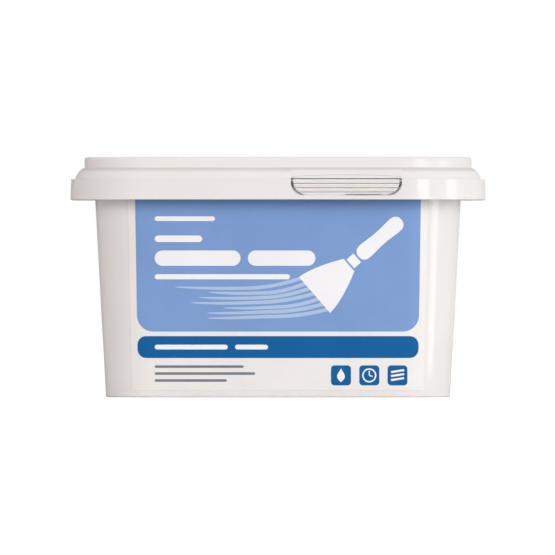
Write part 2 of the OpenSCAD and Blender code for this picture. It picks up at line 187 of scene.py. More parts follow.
class TubForm:
    """The tub's derived sizes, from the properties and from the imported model's boxes."""

    def __init__(self, s):
        self.s = s
        self.centre = np.array([s.base_w / 2 - s.base_r, s.base_d / 2 - s.base_r])
        self.slope = math.tan(s.draft)
        tub_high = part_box("tub")[1]
        lid_low, lid_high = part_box("lid")
        tab_low, tab_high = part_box("tear_tab")
        paste_low, paste_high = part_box("filler_paste")
        label_low, label_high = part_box("front_label")
        self.rim_z, self.lid_top, self.leg_low = tub_high.z, lid_high.z, lid_low.z
        self.floor_top, self.fill_top = paste_low.z, paste_high.z
        self.foot_h = self.floor_top - s.floor_t
        self.film_low, self.film_high = label_low.z, label_high.z
        self.print_top = self.film_high - 0.2 * MM
        self.tab_x0, self.tab_x1 = tab_low.x, tab_high.x
        self.tab_low, self.tab_top = tab_low.z, tab_high.z
        self.web_x1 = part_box("tab_hinge")[1].x
        self.lip_out = self.wall_out(self.rim_z) + s.lip_w
        self.ring_in = self.lip_out + s.fit_gap
        self.ring_out = self.ring_in + s.lid_t
        self.leg_out = self.ring_out + s.shoulder_w
        self.crease_z = self.lid_top - s.ring_h
        self.shoulder_reach = self.leg_out - s.shoulder_r
        across_arc = self.ring_out - self.shoulder_reach
        self.shoulder_z = self.crease_z - math.sqrt(s.shoulder_r**2 - across_arc**2)
        self.collar_top = self.lid_top - s.collar_drop
        self.collar_low = self.collar_top - s.collar_h
        self.collar_out_top = self.leg_out + s.collar_gap + s.collar_t
        self.flange_low = self.collar_low + s.flange_rise
        self.flange_top = self.flange_low + s.flange_t
        hinge = next(j for j in frame["joints"] if j["name"] == "tab_fold")
        self.slot_low = 2 * hinge["pos_m"][2] - self.tab_low
        self.seat_top = self.lid_top - s.recess_h
        self.seat_low = self.seat_top - s.lid_t
        self.seat_in = self.plug_in(self.seat_top) - s.seat_w
        self.panel_top = self.seat_top - s.panel_step
        self.panel_low = self.panel_top - s.lid_t
        self.tab_mid = (self.tab_x0 + self.tab_x1) / 2

    def wall_out(self, z):
        return self.s.base_r + z * self.slope

    def wall_in(self, z):
        return self.wall_out(z) - self.s.wall_t / math.cos(self.s.draft)

    def plug_out(self, z):
        return self.wall_in(z) - self.s.fit_gap

    def plug_in(self, z):
        return self.plug_out(z) - self.s.lid_t / math.cos(self.s.draft)

    def collar_out(self, z):
        return self.collar_out_top + (self.collar_top - z) / self.s.collar_h * self.s.collar_flare

    def collar_in(self, z):
        return self.collar_out(z) - self.s.collar_t


def form():
    return TubForm(bpy.context.scene.filler_tub_sizes)


def rounded(corners, radii, steps=5, closed=False, hold=0.2 * MM):
    """Rounds a path's corners and marks the points of its small roundings.

    Each corner gives way to the arc of its radius that touches both its sides. With u and v from the arc's
    centre to its two ends and w the angle between them, its points are (sin((1-f)w) u + sin(fw) v) / sin(w)
    for f from 0 to 1. A point on either side, no further than hold away, keeps the flat face flat. corners is
    (k, n, 2), for n columns, or (k, 2).
    """
    p = np.asarray(corners, float)
    p = p[:, None, :] if p.ndim == 2 else p
    r = np.broadcast_to(np.asarray(radii, float).reshape(len(p), -1), p.shape[:2])
    a, b = np.roll(p, 1, 0) - p, np.roll(p, -1, 0) - p
    side = np.linalg.norm(a, axis=-1)
    a, b = a / side[..., None], b / np.roll(side, -1, 0)[..., None]
    half = np.arccos(np.clip((a * b).sum(-1), -1, 1)) / 2
    cut = r / np.tan(half)
    free = np.maximum(side - cut - np.roll(cut, 1, 0), 0)
    before = np.minimum(free / 3, hold)
    after = np.roll(before, -1, 0)
    middle = a + b
    middle /= np.linalg.norm(middle, axis=-1)[..., None]
    centre = p + middle * (r / np.sin(half))[..., None]
    turn = (math.pi - 2 * half)[..., None]
    u, v = p + a * cut[..., None] - centre, p + b * cut[..., None] - centre
    f = np.linspace(0, 1, steps + 1)[:, None, None, None]
    arc = centre + (np.sin((1 - f) * turn) * u + np.sin(f * turn) * v) / np.sin(turn)
    first, last = p + a * (cut + before)[..., None], p + b * (cut + after)[..., None]
    rows = np.concatenate([first[None], arc, last[None]])
    rows = np.moveaxis(rows, 0, 1).reshape(-1, *p.shape[1:])
    small = (r.max(1) > 0) & (r.max(1) < WIDEST_EDGE)
    mark = np.tile(np.r_[0, np.ones(steps + 1), 0], len(p)) * np.repeat(small, steps + 3)
    if closed:
        return rows, mark
    skip = steps + 2
    rows = np.concatenate([p[:1], rows[steps + 3 : -skip - 1], p[-1:]])
    return rows, np.r_[0, mark[steps + 3 : -skip - 1], 0]


def refined(rows, mark, longest):
    """Adds points along a path so that no step is longer than longest.

    Places are spread evenly along each step, as its first point's number plus a share, and each is mixed from
    the step's two ends.
    """
    steps = np.linalg.norm(np.diff(rows.mean(1), axis=0), axis=1)
    parts = np.maximum(np.ceil(steps / longest).astype(int), 1)
    index = np.repeat(np.arange(len(parts)), parts)
    share = (np.arange(len(index)) - np.repeat(np.cumsum(parts) - parts, parts)) / np.repeat(parts, parts)
    place = np.r_[index + share, float(len(parts))]
    low = np.minimum(place.astype(int), len(rows) - 2)
    f = (place - low)[:, None, None]
    return rows[low] * (1 - f) + rows[low + 1] * f, mark[low] * (1 - f[:, 0, 0]) + mark[low + 1] * f[:, 0, 0]


def columns(f, side_steps=6, front_x=()):
    """Columns anticlockwise round the rounded rectangle.

    In corner k the direction turns evenly from 90k to 90k + 90 degrees about the corner's centre, and along
    the side after it the centre runs evenly to the next corner. Gives each column's centre, as a share of the
    half distances between the corner centres, and its outward direction.
    """
    turn_steps, hold = 18, 0.6 * MM
    centres, directions = [], []
    for k in range(4):
        angle = math.pi / 2 * (k + np.linspace(0, 1, turn_steps + 1))
        diagonals = (math.pi / 2 * (k + 0.5), math.pi / 2 * (k + 1.5))
        here, there = (np.sign([math.cos(diagonal), math.sin(diagonal)]) for diagonal in diagonals)
        centres.append(np.tile(here, (turn_steps + 1, 1)))
        directions.append(np.stack([np.cos(angle), np.sin(angle)], 1))
        long_side = 2 * f.centre[k % 2]
        share = np.r_[hold / long_side, np.linspace(0, 1, side_steps + 1)[1:-1], 1 - hold / long_side]
        if k == 2 and len(front_x):
            share = np.sort(np.r_[share, (np.asarray(front_x) / f.centre[0] + 1) / 2])
        centres.append(here * (1 - share[:, None]) + there * share[:, None])
        outward = [math.cos(math.pi / 2 * (k + 1)), math.sin(math.pi / 2 * (k + 1))]
        directions.append(np.tile(outward, (len(share), 1)))
    return np.concatenate(centres), np.concatenate(directions)


def carried(f, rows, centre, direction):
    """Carries a path round the tub.

    x, y = the centre's share times the half distances, less any negative reach, plus direction times any
    positive reach, and z is the path's height.
    """
    rows = np.broadcast_to(rows, (len(rows), len(centre), 2))
    reach = rows[..., :1]
    xy = centre * (f.centre + np.minimum(reach, 0)) + direction * np.maximum(reach, 0)
    return np.concatenate([xy, rows[..., 1:]], -1)


def at_columns(path, n):
    """The corners of a path, (k, n, 2), and their radii: each reach or height is one value or n values."""
    corners = [np.stack([np.broadcast_to(r, n), np.broadcast_to(z, n)], -1) for r, z, radius in path]
    return np.stack(corners), [radius for r, z, radius in path]


def volume_of(points, quads):
    """Six times the volume in a closed shell of quads: the sum of a . (b x c) over their triangles."""
    a, b, c, d = (points[quads[:, k]] for k in range(4))
    return np.einsum("ij,ij->", a, np.cross(b, c)) + np.einsum("ij,ij->", a, np.cross(c, d))


def surface(name, grids, body, material, replaces=(), wrap=(False, True), edge=None, groove=None):
    """Makes one piece from grids of points.

    Neighbouring points of a grid are joined into quads that face outward, and seams and poles are welded. The
    marks of its rows, or of its points, are kept as two attributes: edge, the rubbed edges, and the painted
    shade of creases and slots.
    """
    crease = math.radians(40)
    made = bpy.data.meshes.new(name)
    points, quads, marks, start = [], [], {"edge": [], "groove": []}, 0
    for grid in grids:
        m, n = grid.shape[:2]
        r, c = np.meshgrid(np.arange(m - (not wrap[0])), np.arange(n - (not wrap[1])), indexing="ij")
        below, right = (r + 1) % m, (c + 1) % n
        faces = np.stack([r * n + c, r * n + right, below * n + right, below * n + c], -1).reshape(-1, 4)
        points.append(grid.reshape(-1, 3))
        if volume_of(points[-1], faces) < 0:
            faces = faces[:, ::-1]
        quads.append(start + faces)
        for key, rows in (("edge", edge), ("groove", groove)):
            rows = np.zeros(m) if rows is None else rows
            marks[key].append(np.broadcast_to(rows.reshape(m, -1), (m, n)).ravel())
        start += m * n
    made.from_pydata(np.concatenate(points), [], np.concatenate(quads))
    for key, rows in marks.items():
        values = np.concatenate(rows).astype(np.float32)
        made.attributes.new(key, "FLOAT", "POINT").data.foreach_set("value", values)
    work = bmesh.new()
    work.from_mesh(made)
    bmesh.ops.remove_doubles(work, verts=work.verts, dist=WELD)
    bmesh.ops.dissolve_degenerate(work, edges=work.edges, dist=WELD / 4)
    work.to_mesh(made)
    work.free()
    made.polygons.foreach_set("use_smooth", np.ones(len(made.polygons), bool))
    made.set_sharp_from_angle(angle=crease)
    piece = bpy.data.objects.new(name, made)
    bpy.context.scene.collection.objects.link(piece)
    made.materials.append(material)
    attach(piece, body)
    if replaces:
        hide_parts(*replaces)
    return piece


def plate(place, across, up, lift, thickness):
    """A thin closed shell over a grid of places.

    Its outer face lies at lift plus thickness and its inner face at lift, and a line half way between them
    joins their edges.
    """
    outer, inner = place(across, up, lift + thickness), place(across, up, lift)
    middle = (outer + inner) / 2
    body = np.concatenate([outer, inner[::-1]])
    ends = np.concatenate([middle, middle[::-1]])
    return np.concatenate([ends[:, :1], body, ends[:, -1:]], 1)


def bar(loop, direction, start, end):
    """A straight bar: a closed loop of points, (n, 3), carried along a direction from start to end.

    It is drawn in a little at both ends and closed there by a pole at its middle.
    """
    bevel = 0.15 * MM
    loop, direction = np.asarray(loop, float), np.asarray(direction, float)
    middle = loop.mean(0)
    inner = 1 - bevel / np.linalg.norm(loop - middle, axis=1).min()
    scale = np.array([0, inner, inner, 1, 1, inner, inner, 0])[:, None, None]
    place = np.array([start, start, start, start + bevel, end - bevel, end, end, end])[:, None, None]
    return middle + (loop - middle) * scale + direction * place


# Shader building

def add(tree, kind, inputs=None, **settings):
    """Adds a node, with its settings and its inputs: a socket is linked and anything else is a value."""
    made = tree.nodes.new(kind)
    for key, value in settings.items():
        setattr(made, key, value)
    for key, value in (inputs or {}).items():
        if isinstance(value, bpy.types.NodeSocket):
            tree.links.new(value, made.inputs[key])
        else:
            made.inputs[key].default_value = value
    return made


def sum_of(tree, first, second):
    return add(tree, "ShaderNodeMath", {0: first, 1: second}, operation="ADD").outputs[0]


def times(tree, first, second):
    return add(tree, "ShaderNodeMath", {0: first, 1: second}, operation="MULTIPLY").outputs[0]


def ramp(tree, value, low, high, to_low=0.0, to_high=1.0):
    """Maps a value from low..high smoothly to to_low..to_high."""
    inputs = {"Value": value, "From Min": low, "From Max": high, "To Min": to_low, "To Max": to_high}
    return add(tree, "ShaderNodeMapRange", inputs, interpolation_type="SMOOTHSTEP").outputs["Result"]


def noise(tree, vector, scale, detail, stretch=(1, 1, 1)):
    """Noise of a scale per metre, stretched by a share on each axis."""
    place = add(tree, "ShaderNodeMapping", {"Vector": vector, "Scale": stretch}).outputs[0]
    return add(tree, "ShaderNodeTexNoise", {"Vector": place, "Scale": scale, "Detail": detail}).outputs["Fac"]


def group(name, inputs, outputs):
    """An empty shader group with its sockets. inputs and outputs are lists of (name, socket type)."""
    tree = bpy.data.node_groups.new(name, "ShaderNodeTree")
    for in_out, sockets in (("INPUT", inputs), ("OUTPUT", outputs)):
        for key, kind in sockets:
            tree.interface.new_socket(key, in_out=in_out, socket_type=kind)
    return tree, tree.nodes.new("NodeGroupInput").outputs, tree.nodes.new("NodeGroupOutput").inputs


def moulded_skin():
    """The skin of moulded plastic, as a group.

    Height is orange peel of about 1 mm, upright draw lines and a few short scratches. Roughness is cloudy and
    rises in the scratches and along edges. Cloud is a slow change of tint, and Dust gathers near the ground.
    """
    name = "moulded skin"
    if name in bpy.data.node_groups:
        return bpy.data.node_groups[name]
    number = "NodeSocketFloat"
    inputs = [("Vector", "NodeSocketVector"), *[(key, number) for key in ("Edge", "Low", "High", "Scuffs")]]
    outputs = [(key, number) for key in ("Height", "Roughness", "Cloud", "Dust")]
    tree, given, put = group(name, inputs, outputs)
    vector = given["Vector"]
    upright, lengthwise = (1, 1, 0.012), (1, 0.06, 1)
    line_depth, scratch_depth, scratch_rough, worn_rough = 0.5, -1.5, 0.25, 0.04
    dust_height = 14 * MM
    peel = noise(tree, vector, 900, 2)
    lines = noise(tree, vector, 700, 3, upright)
    tilted = add(tree, "ShaderNodeMapping", {"Vector": vector, "Rotation": (0.3, 0.9, 0.5)}).outputs[0]
    scratch = ramp(tree, noise(tree, tilted, 2600, 2, lengthwise), 0.68, 0.8)
    patch = ramp(tree, noise(tree, vector, 26, 3), 0.5, 0.62)
    scratch = times(tree, times(tree, scratch, patch), given["Scuffs"])
    cloud = ramp(tree, noise(tree, vector, 22, 1), 0.2, 0.8)
    spread = add(tree, "ShaderNodeMath", {0: given["High"], 1: given["Low"]}, operation="SUBTRACT").outputs[0]
    rough = sum_of(tree, given["Low"], times(tree, spread, cloud))
    worn = times(tree, given["Edge"], ramp(tree, noise(tree, vector, 160, 3), 0.4, 0.65, 0.0, worn_rough))
    rough = sum_of(tree, sum_of(tree, rough, worn), times(tree, scratch, scratch_rough))
    height = sum_of(tree, peel, times(tree, lines, line_depth))
    height = sum_of(tree, height, times(tree, scratch, scratch_depth))
    z = add(tree, "ShaderNodeSeparateXYZ", {0: vector}).outputs["Z"]
    low = ramp(tree, z, 0.0, dust_height, 1.0, 0.0)
    dust_and_shade = times(tree, low, ramp(tree, noise(tree, vector, 260, 5), 0.42, 0.72))
    for key, socket in {"Height": height, "Roughness": rough, "Cloud": cloud, "Dust": dust_and_shade}.items():
        tree.links.new(socket, put[key])
    return tree


def print_grain():
    """Printed ink, as a group: Tone is a fine speckle over a slow drift, and Height is the ink's tooth."""
    name = "print grain"
    if name in bpy.data.node_groups:
        return bpy.data.node_groups[name]
    number = "NodeSocketFloat"
    tree, given, put = group(name, [("Vector", "NodeSocketVector")], [("Tone", number), ("Height", number)])
    speckle, drift = 0.6, 0.4
    fine = noise(tree, given["Vector"], 2600, 2)
    slow = noise(tree, given["Vector"], 30, 3)
    tree.links.new(sum_of(tree, times(tree, fine, speckle), times(tree, slow, drift)), put["Tone"])
    tree.links.new(noise(tree, given["Vector"], 1100, 2), put["Height"])
    return tree


def new_material(name):
    """A new material with its tree, its shader, which feeds the output, and its object coordinates."""
    made = bpy.data.materials.new(name)
    made.use_nodes = True
    tree = made.node_tree
    tree.nodes.clear()
    shader = tree.nodes.new("ShaderNodeBsdfPrincipled")
    tree.links.new(shader.outputs[0], tree.nodes.new("ShaderNodeOutputMaterial").inputs[0])
    vector = tree.nodes.new("ShaderNodeTexCoord").outputs["Object"]
    return made, tree, shader, vector


def palette():
    return bpy.context.scene.filler_tub_colours


def mixed(tree, factor, first, second):
    """A colour between two, by a factor that varies over the surface."""
    made = add(tree, "ShaderNodeMix", data_type="RGBA")
    tree.links.new(factor, made.inputs["Factor"])
    for key, value in (("A", first), ("B", second)):
        socket = next(s for s in made.inputs if s.name == key and s.type == "RGBA")
        if isinstance(value, bpy.types.NodeSocket):
            tree.links.new(value, socket)
        else:
            socket.default_value = (*value, 1)
    return next(s for s in made.outputs if s.type == "RGBA")


def bumped(tree, shader, height, distance, strength):
    """Gives a shader's face its relief, from a height and the distance that a height of 1 stands for."""
    bump = add(tree, "ShaderNodeBump", {"Height": height, "Distance": distance, "Strength": strength})
    tree.links.new(bump.outputs[0], shader.inputs["Normal"])


def plastic(name, first, second, low, high):
    """White polypropylene: two close whites clouded together, with a little light inside it.

    Dust lies at the foot, painted shade darkens the grooves, slots and creases, and the edges are slightly
    rubbed. Fine scuffs keep the plastic from mirroring at grazing angles, so its specular level fades there.
    """
    if name in bpy.data.materials:
        return bpy.data.materials[name]
    # The crease mark's weight and its near-black tone paint shade into creases, slots and grooves
    scuffs, foot_dust, groove_dust = 0.15, 0.2, 0.85
    foot_tone, groove_tone = tuple(0.85 * c for c in second), tuple(0.3 * c for c in second)
    made, tree, shader, vector = new_material(name)
    mark = add(tree, "ShaderNodeAttribute", attribute_name="edge").outputs["Fac"]
    groove = add(tree, "ShaderNodeAttribute", attribute_name="groove").outputs["Fac"]
    inputs = {"Vector": vector, "Edge": mark, "Low": low, "High": high, "Scuffs": scuffs}
    skin = add(tree, "ShaderNodeGroup", inputs, node_tree=moulded_skin()).outputs
    base = mixed(tree, skin["Cloud"], first, second)
    base = mixed(tree, times(tree, skin["Dust"], foot_dust), base, foot_tone)
    # Painted shade: the crease mark darkens the colour towards a near black
    base = mixed(tree, times(tree, groove, groove_dust), base, groove_tone)
    tree.links.new(base, shader.inputs["Base Color"])
    tree.links.new(skin["Roughness"], shader.inputs["Roughness"])
    bumped(tree, shader, skin["Height"], 0.012 * MM, 0.6)
    grazing = add(tree, "ShaderNodeLayerWeight", {"Blend": 0.5}).outputs["Facing"]
    tree.links.new(ramp(tree, grazing, 0.3, 0.75, 0.95, 0.0), shader.inputs["Specular IOR Level"])
    shader.inputs["IOR"].default_value = 1.49
    shader.inputs["Subsurface Weight"].default_value = 0.08
    shader.inputs["Subsurface Radius"].default_value = (1, 0.9, 0.8)
    shader.inputs["Subsurface Scale"].default_value = 1.5 * MM
    return made


def tub_plastic():
    c = palette()
    return plastic("tub plastic", c.plastic, c.plastic_shade, low=0.09, high=0.14)


def lid_plastic():
    c = palette()
    return plastic("lid plastic", c.plastic, c.plastic_shade, low=0.17, high=0.24)


def ink(name, tint):
    """Printed ink with a satin face that mirrors little: its tone drifts a little lighter and darker."""
    if name in bpy.data.materials:
        return bpy.data.materials[name]
    made, tree, shader, vector = new_material(name)
    grain = add(tree, "ShaderNodeGroup", {"Vector": vector}, node_tree=print_grain()).outputs
    tone = ramp(tree, grain["Tone"], 0.3, 0.7)
    darker, lighter = tuple(c * 0.96 for c in tint), tuple(min(1, c * 1.04 + 0.004) for c in tint)
    tree.links.new(mixed(tree, tone, darker, lighter), shader.inputs["Base Color"])
    tree.links.new(ramp(tree, grain["Tone"], 0.2, 0.8, 0.3, 0.42), shader.inputs["Roughness"])
    shader.inputs["Specular IOR Level"].default_value = 0.1
    bumped(tree, shader, grain["Height"], 0.006 * MM, 0.6)
    return made


# The tub

def slot_edge(f):
    """The cut in the collar's top for the tab: columns across the front and the collar's top height there.

    Its bottom corners are arcs: x = end + r (1 - cos a), z = bottom + r (1 - sin a), for a from 0 to 90
    degrees. The outermost columns stand a hair outside the cut, so that its sides are upright.
    """
    arc_steps, flat_steps, hair = 8, 5, 0.02 * MM
    r = f.s.tab_r + f.tab_low - f.slot_low
    x0, x1 = f.tab_x0 - f.s.slot_w, f.tab_x1 + f.s.slot_w
    a = np.linspace(0, math.pi / 2, arc_steps + 1)
    x, z = x0 + r * (1 - np.cos(a)), f.slot_low + r * (1 - np.sin(a))
    flat = np.linspace(x[-1], x0 + x1 - x[-1], flat_steps + 1)[1:-1]
    across = np.r_[x0 - hair, x, flat, (x0 + x1 - x)[::-1], x1 + hair]
    height = np.r_[f.collar_top, z, np.full(len(flat), f.slot_low), z[::-1], f.collar_top]
    return across, height


def facing_front(f, centre, direction):
    """Which columns lie on the front's flat, and each column's x."""
    return direction[:, 1] < -0.999, centre[:, 0] * f.centre[0]


def tub_wall(f, material):
    """Floor, wall, rim and flange as one path: up inside from the floor's middle and down again outside."""
    s = f.s
    across = slot_edge(f)[0]
    centre, direction = columns(f, front_x=across[[0, 1, -2, -1]])
    front, x = facing_front(f, centre, direction)
    open_to_finger = front & (x > across[0] + WELD) & (x < across[-1] - WELD)
    join = f.collar_in(f.flange_low) + s.collar_t / 2
    flange = np.where(open_to_finger, f.collar_in(f.flange_low) - s.notch_d, join)
    roof, skirt = f.rim_z - s.rim_t, f.rim_z - s.lip_h
    path = [
        (-f.centre[1], f.floor_top, 0),
        (f.wall_in(f.floor_top), f.floor_top, 2 * MM),
        (f.wall_in(f.rim_z), f.rim_z, 0.4 * MM),
        (f.lip_out, f.rim_z, 0.5 * MM),
        (f.lip_out, skirt, 0.4 * MM),
        (f.lip_out - s.lip_t, skirt, 0.4 * MM),
        (f.lip_out - s.lip_t, roof, 0.4 * MM),
        (f.wall_out(roof), roof, 0.4 * MM),
        (f.wall_out(f.flange_top), f.flange_top, 0.3 * MM),
        (flange, f.flange_top, 0.2 * MM),
        (flange, f.flange_low, 0.2 * MM),
        (f.wall_out(f.flange_low), f.flange_low, 0.4 * MM),
        (f.wall_out(0), 0, s.base_edge_r),
        (f.wall_out(0) - s.base_edge_r - s.foot_w, 0, 0.3 * MM),
        (f.wall_out(0) - s.base_edge_r - s.foot_w, f.foot_h, 0.4 * MM),
        (-f.centre[1], f.foot_h, 0),
    ]
    rows, mark = rounded(*at_columns(path, len(centre)))
    grid = carried(f, rows, centre, direction)
    return surface("tub_wall", [grid], "tub", material, ["tub"], edge=mark)


def tub_collar(f, material):
    """The collar: a closed path whose top edge dips in the columns of the tab's opening.

    Painted shade lies on that edge where the slot is open, and thins out as 1 - d / reach with the depth d
    below it.
    """
    across, height = slot_edge(f)
    centre, direction = columns(f, front_x=across)
    front, x = facing_front(f, centre, direction)
    top = np.where(front, np.interp(x, across, height), f.collar_top)
    low, shade_reach = f.collar_low, 0.5 * MM
    path = [
        (f.collar_in(low), low, 0.3 * MM),
        (f.collar_out(low), low, 0.15 * MM),
        (f.collar_out(top), top, 0.3 * MM),
        (f.collar_in(top), top, 0.3 * MM),
    ]
    rows, mark = rounded(*at_columns(path, len(centre)), closed=True)
    # Painted shade along the cut edge of the open slot
    open_slot_shade = front & (top < f.collar_top - WELD) & ((top > f.slot_low + WELD) | (x > f.web_x1))
    groove = open_slot_shade * np.clip(1 - (top - rows[..., 1]) / shade_reach, 0, 1)
    grid = carried(f, rows, centre, direction)
    return surface("tub_collar", [grid], "tub", material, ["tub"], (True, True), mark, groove)


def rib_places(f):
    """Each rib's root and outward direction in the plan.

    They stand in rows on the long sides, in pairs beside the hand grips, and in pairs round each corner.
    """
    s = f.s
    count = int(f.centre[0] // s.rib_pitch)
    places = []
    for k in range(-count, count + 1):
        x = k * s.rib_pitch
        places.append(((x, f.centre[1]), (0, 1)))
        if x < f.tab_x0 - s.rib_pitch / 2 or x > f.tab_x1 + s.rib_pitch / 2:
            places.append(((x, -f.centre[1]), (0, -1)))
    for sx in (-1, 1):
        for sy in (-1, 1):
            places.append(((sx * f.centre[0], sy * (s.grip_w + s.rib_t) / 2), (sx, 0)))
            for turn in (30, 60):
                angle = math.atan2(sy, sx) + math.radians(turn - 45)
                root = (sx * f.centre[0], sy * f.centre[1])
                places.append((root, (math.cos(angle), math.sin(angle))))
    return places


def tub_ribs(f, material):
    """Ribs in the channel under the flange: one outline in reach and height, carried across each place."""
    s = f.s
    low, root = f.collar_low + s.rib_lift, s.wall_t / 2
    outline = np.array(
        [
            (f.wall_out(low) - root, low),
            (f.collar_in(low) + root, low),
            (f.collar_in(f.flange_low) + root, f.flange_low + root),
            (f.wall_out(f.flange_low) - root, f.flange_low + root),
        ]
    )
    bars = []
    for (x, y), (dx, dy) in rib_places(f):
        loop = np.stack([x + dx * outline[:, 0], y + dy * outline[:, 0], outline[:, 1]], 1)
        bars.append(bar(loop, (-dy, dx, 0), -s.rib_t / 2, s.rib_t / 2))
    return surface("tub_ribs", bars, "tub", material, ["tub"])


def gate_mark(name, body, z, up, material):
    """The mark of the injection point: rings about its middle form a small pip on a disc with a soft edge."""
    radius, height = 4 * MM, 0.6 * MM
    turn = np.linspace(0, 2 * math.pi, 40, endpoint=False)
    reach = np.array([0, 0.12, 0.16, 0.2, 0.8, 0.93, 1.0, 1.0, 0.0])[:, None] * radius
    rise = np.array([0.9, 0.9, 0.6, 0.5, 0.5, 0.42, 0.2, -0.3, -0.3])[:, None] * height
    grid = np.stack([reach * np.cos(turn), reach * np.sin(turn), z + up * rise * np.ones_like(turn)], -1)
    return surface(name, [grid], body, material)


# The lid

def shoulder_path(f, radius, reach, end):
    """One face of the lid's shoulder and leg: the arc's start at a reach, its corner and the leg's foot.

    With b the arc's angle at that reach and e its last angle, the corner lies at the angle (b + e) / 2, at
    the radius divided by cos((b - e) / 2), and the leg runs on from the last point square to its radius.
    """
    leg = f.shoulder_z - f.leg_low
    begin = math.acos((reach - f.shoulder_reach) / radius)
    middle, half = (begin + end) / 2, (begin - end) / 2
    far = radius / np.cos(half)
    start = (reach, f.shoulder_z + radius * math.sin(begin))
    corner = (f.shoulder_reach + far * np.cos(middle), f.shoulder_z + far * np.sin(middle))
    foot = (
        f.shoulder_reach + radius * np.cos(end) + leg * np.sin(end),
        f.shoulder_z + radius * np.sin(end) - leg * np.cos(end),
    )
    return start, corner, foot


def lid_shell(f, material):
    """Panel, seat, plug, ring, shoulder and leg as one path, outward from the panel's middle and back below.

    The panel sags by 1 - (x/a)^2 times 1 - (y/b)^2. Behind the tab the shoulder ends higher, at the pull lip.
    Painted shade lies below the crease: it thickens to its full weight at one depth and is gone at three
    times that.
    """
    s = f.s
    across = slot_edge(f)[0]
    centre, direction = columns(f, side_steps=12, front_x=across[[0, 1, -2, -1]])
    front, x = facing_front(f, centre, direction)
    behind_tab = front & (x > across[0] + WELD) & (x < across[-1] - WELD)
    rise = f.collar_top + s.pull_gap - f.leg_low
    end = np.where(behind_tab, math.asin(rise / s.shoulder_r), 0)
    inner_r = s.shoulder_r - s.lid_t
    crease, corner, foot = shoulder_path(f, s.shoulder_r, f.ring_out, end)
    inner_crease, inner_corner, inner_foot = shoulder_path(f, inner_r, f.ring_in, end)
    # The shoulder's rounding is a hair smaller than its curve, so that it fits between its neighbours
    hair = 0.999
    path = [
        (-f.centre[1], f.panel_top, 0),
        (f.seat_in, f.panel_top, 0.5 * MM),
        (f.seat_in, f.seat_top, 0.4 * MM),
        (f.plug_in(f.seat_top), f.seat_top, 0.8 * MM),
        (f.plug_in(f.lid_top), f.lid_top, 0.5 * MM),
        (f.ring_out, f.lid_top, s.ring_edge_r),
        (*crease, 0.25 * MM),
        (*corner, s.shoulder_r * hair),
        (*foot, 0.3 * MM),
        (*inner_foot, 0.3 * MM),
        (*inner_corner, inner_r * hair),
        (*inner_crease, 0),
        (f.ring_in, f.rim_z, 0.3 * MM),
        (f.plug_out(f.rim_z), f.rim_z, 0.3 * MM),
        (f.plug_out(f.seat_low), f.seat_low, 0.4 * MM),
        (f.seat_in - s.lid_t, f.seat_low, 0.3 * MM),
        (f.seat_in - s.lid_t, f.panel_low, 0.4 * MM),
        (-f.centre[1], f.panel_low, 0),
    ]
    rows, mark = rounded(*at_columns(path, len(centre)), steps=7)
    rows, mark = refined(rows, mark, 7 * MM)
    # Painted shade on the shoulder just below its crease with the ring
    dust_and_shade, shade_depth = 0.4, 0.8 * MM
    reach, z = rows[:, 0, 0], rows[:, 0, 1]
    below = f.crease_z - z
    on_arc = np.abs(np.hypot(reach - f.shoulder_reach, z - f.shoulder_z) - s.shoulder_r) < s.lid_t / 4
    groove = dust_and_shade * on_arc * np.clip(np.minimum(below / shade_depth, (3 * shade_depth - below) / (2 * shade_depth)), 0, 1)
    grid = carried(f, rows, centre, direction)
    panel_reach, fade = f.seat_in - s.lid_t, 20 * MM
    far = f.centre + f.seat_in
    bow = np.clip(1 - (grid[..., 0] / far[0]) ** 2, 0, 1) * np.clip(1 - (grid[..., 1] / far[1]) ** 2, 0, 1)
    edge_fade = np.clip((panel_reach - rows[:, :, 0]) / fade, 0, 1)
    grid[..., 2] -= s.panel_sag * bow * np.where(rows[:, :, 0] < panel_reach, edge_fade, 0)
    return surface("lid_shell", [grid], "lid", material, ["lid"], edge=mark, groove=groove)


def pull_lip(f, material):
    """The pull lip: a closed section carried across the tab.

    With t from -1 to 1 across it, its top rises as 1 - t^2, and its front draws in at its ends as a quarter
    circle. Painted shade lies along its top edge.
    """
    s = f.s
    low = f.collar_top + s.pull_gap
    half, end_r, edge = (f.tab_x1 - f.tab_x0) / 2 + s.pull_over, 1.4 * MM, 0.3 * MM
    a = np.linspace(0, math.pi / 2, 7)
    turned = end_r * (1 - np.cos(a))
    x = np.r_[-half + turned, np.linspace(-half + end_r, half - end_r, 25)[1:-1], (half - turned)[::-1]]
    near_end = np.clip(np.abs(x) - (half - end_r), 0, end_r)
    out = f.leg_out + s.pull_out - end_r + np.sqrt(end_r**2 - near_end**2)
    top = low + s.pull_h + s.pull_arch * (1 - (x / half) ** 2)
    reach_at_top = f.shoulder_reach + math.sqrt(s.shoulder_r**2 - (low + s.pull_h - f.shoulder_z) ** 2)
    root, slope_back = reach_at_top - s.lid_t / 2, 0.35 * MM
    path = [(root, low, 0), (out, low, 0.2 * MM), (out, top, edge), (root, top - slope_back, 0)]
    rows, mark = rounded(*at_columns(path, len(x)), closed=True)
    # Painted shade along the lip's top edge
    dust_and_shade, shade_reach = 0.7, 1.2 * edge
    groove = np.clip(1 - (top - rows[..., 1]) / shade_reach, 0, dust_and_shade)[:, np.r_[0, 0 : len(x), -1]]
    x = np.broadcast_to(f.tab_mid + x, rows.shape[:2])
    grid = np.stack([x, -f.centre[1] - rows[..., 0], rows[..., 1]], -1)
    caps = [np.broadcast_to(grid[:, c].mean(0), (len(grid), 1, 3)) for c in (0, -1)]
    grid = np.concatenate([caps[0], grid, caps[1]], 1)
    wrap, names = (True, False), ["pull_lip"]
    return surface("lid_pull_lip", [grid], "lid", material, names, wrap, mark, groove)


# The tear tab

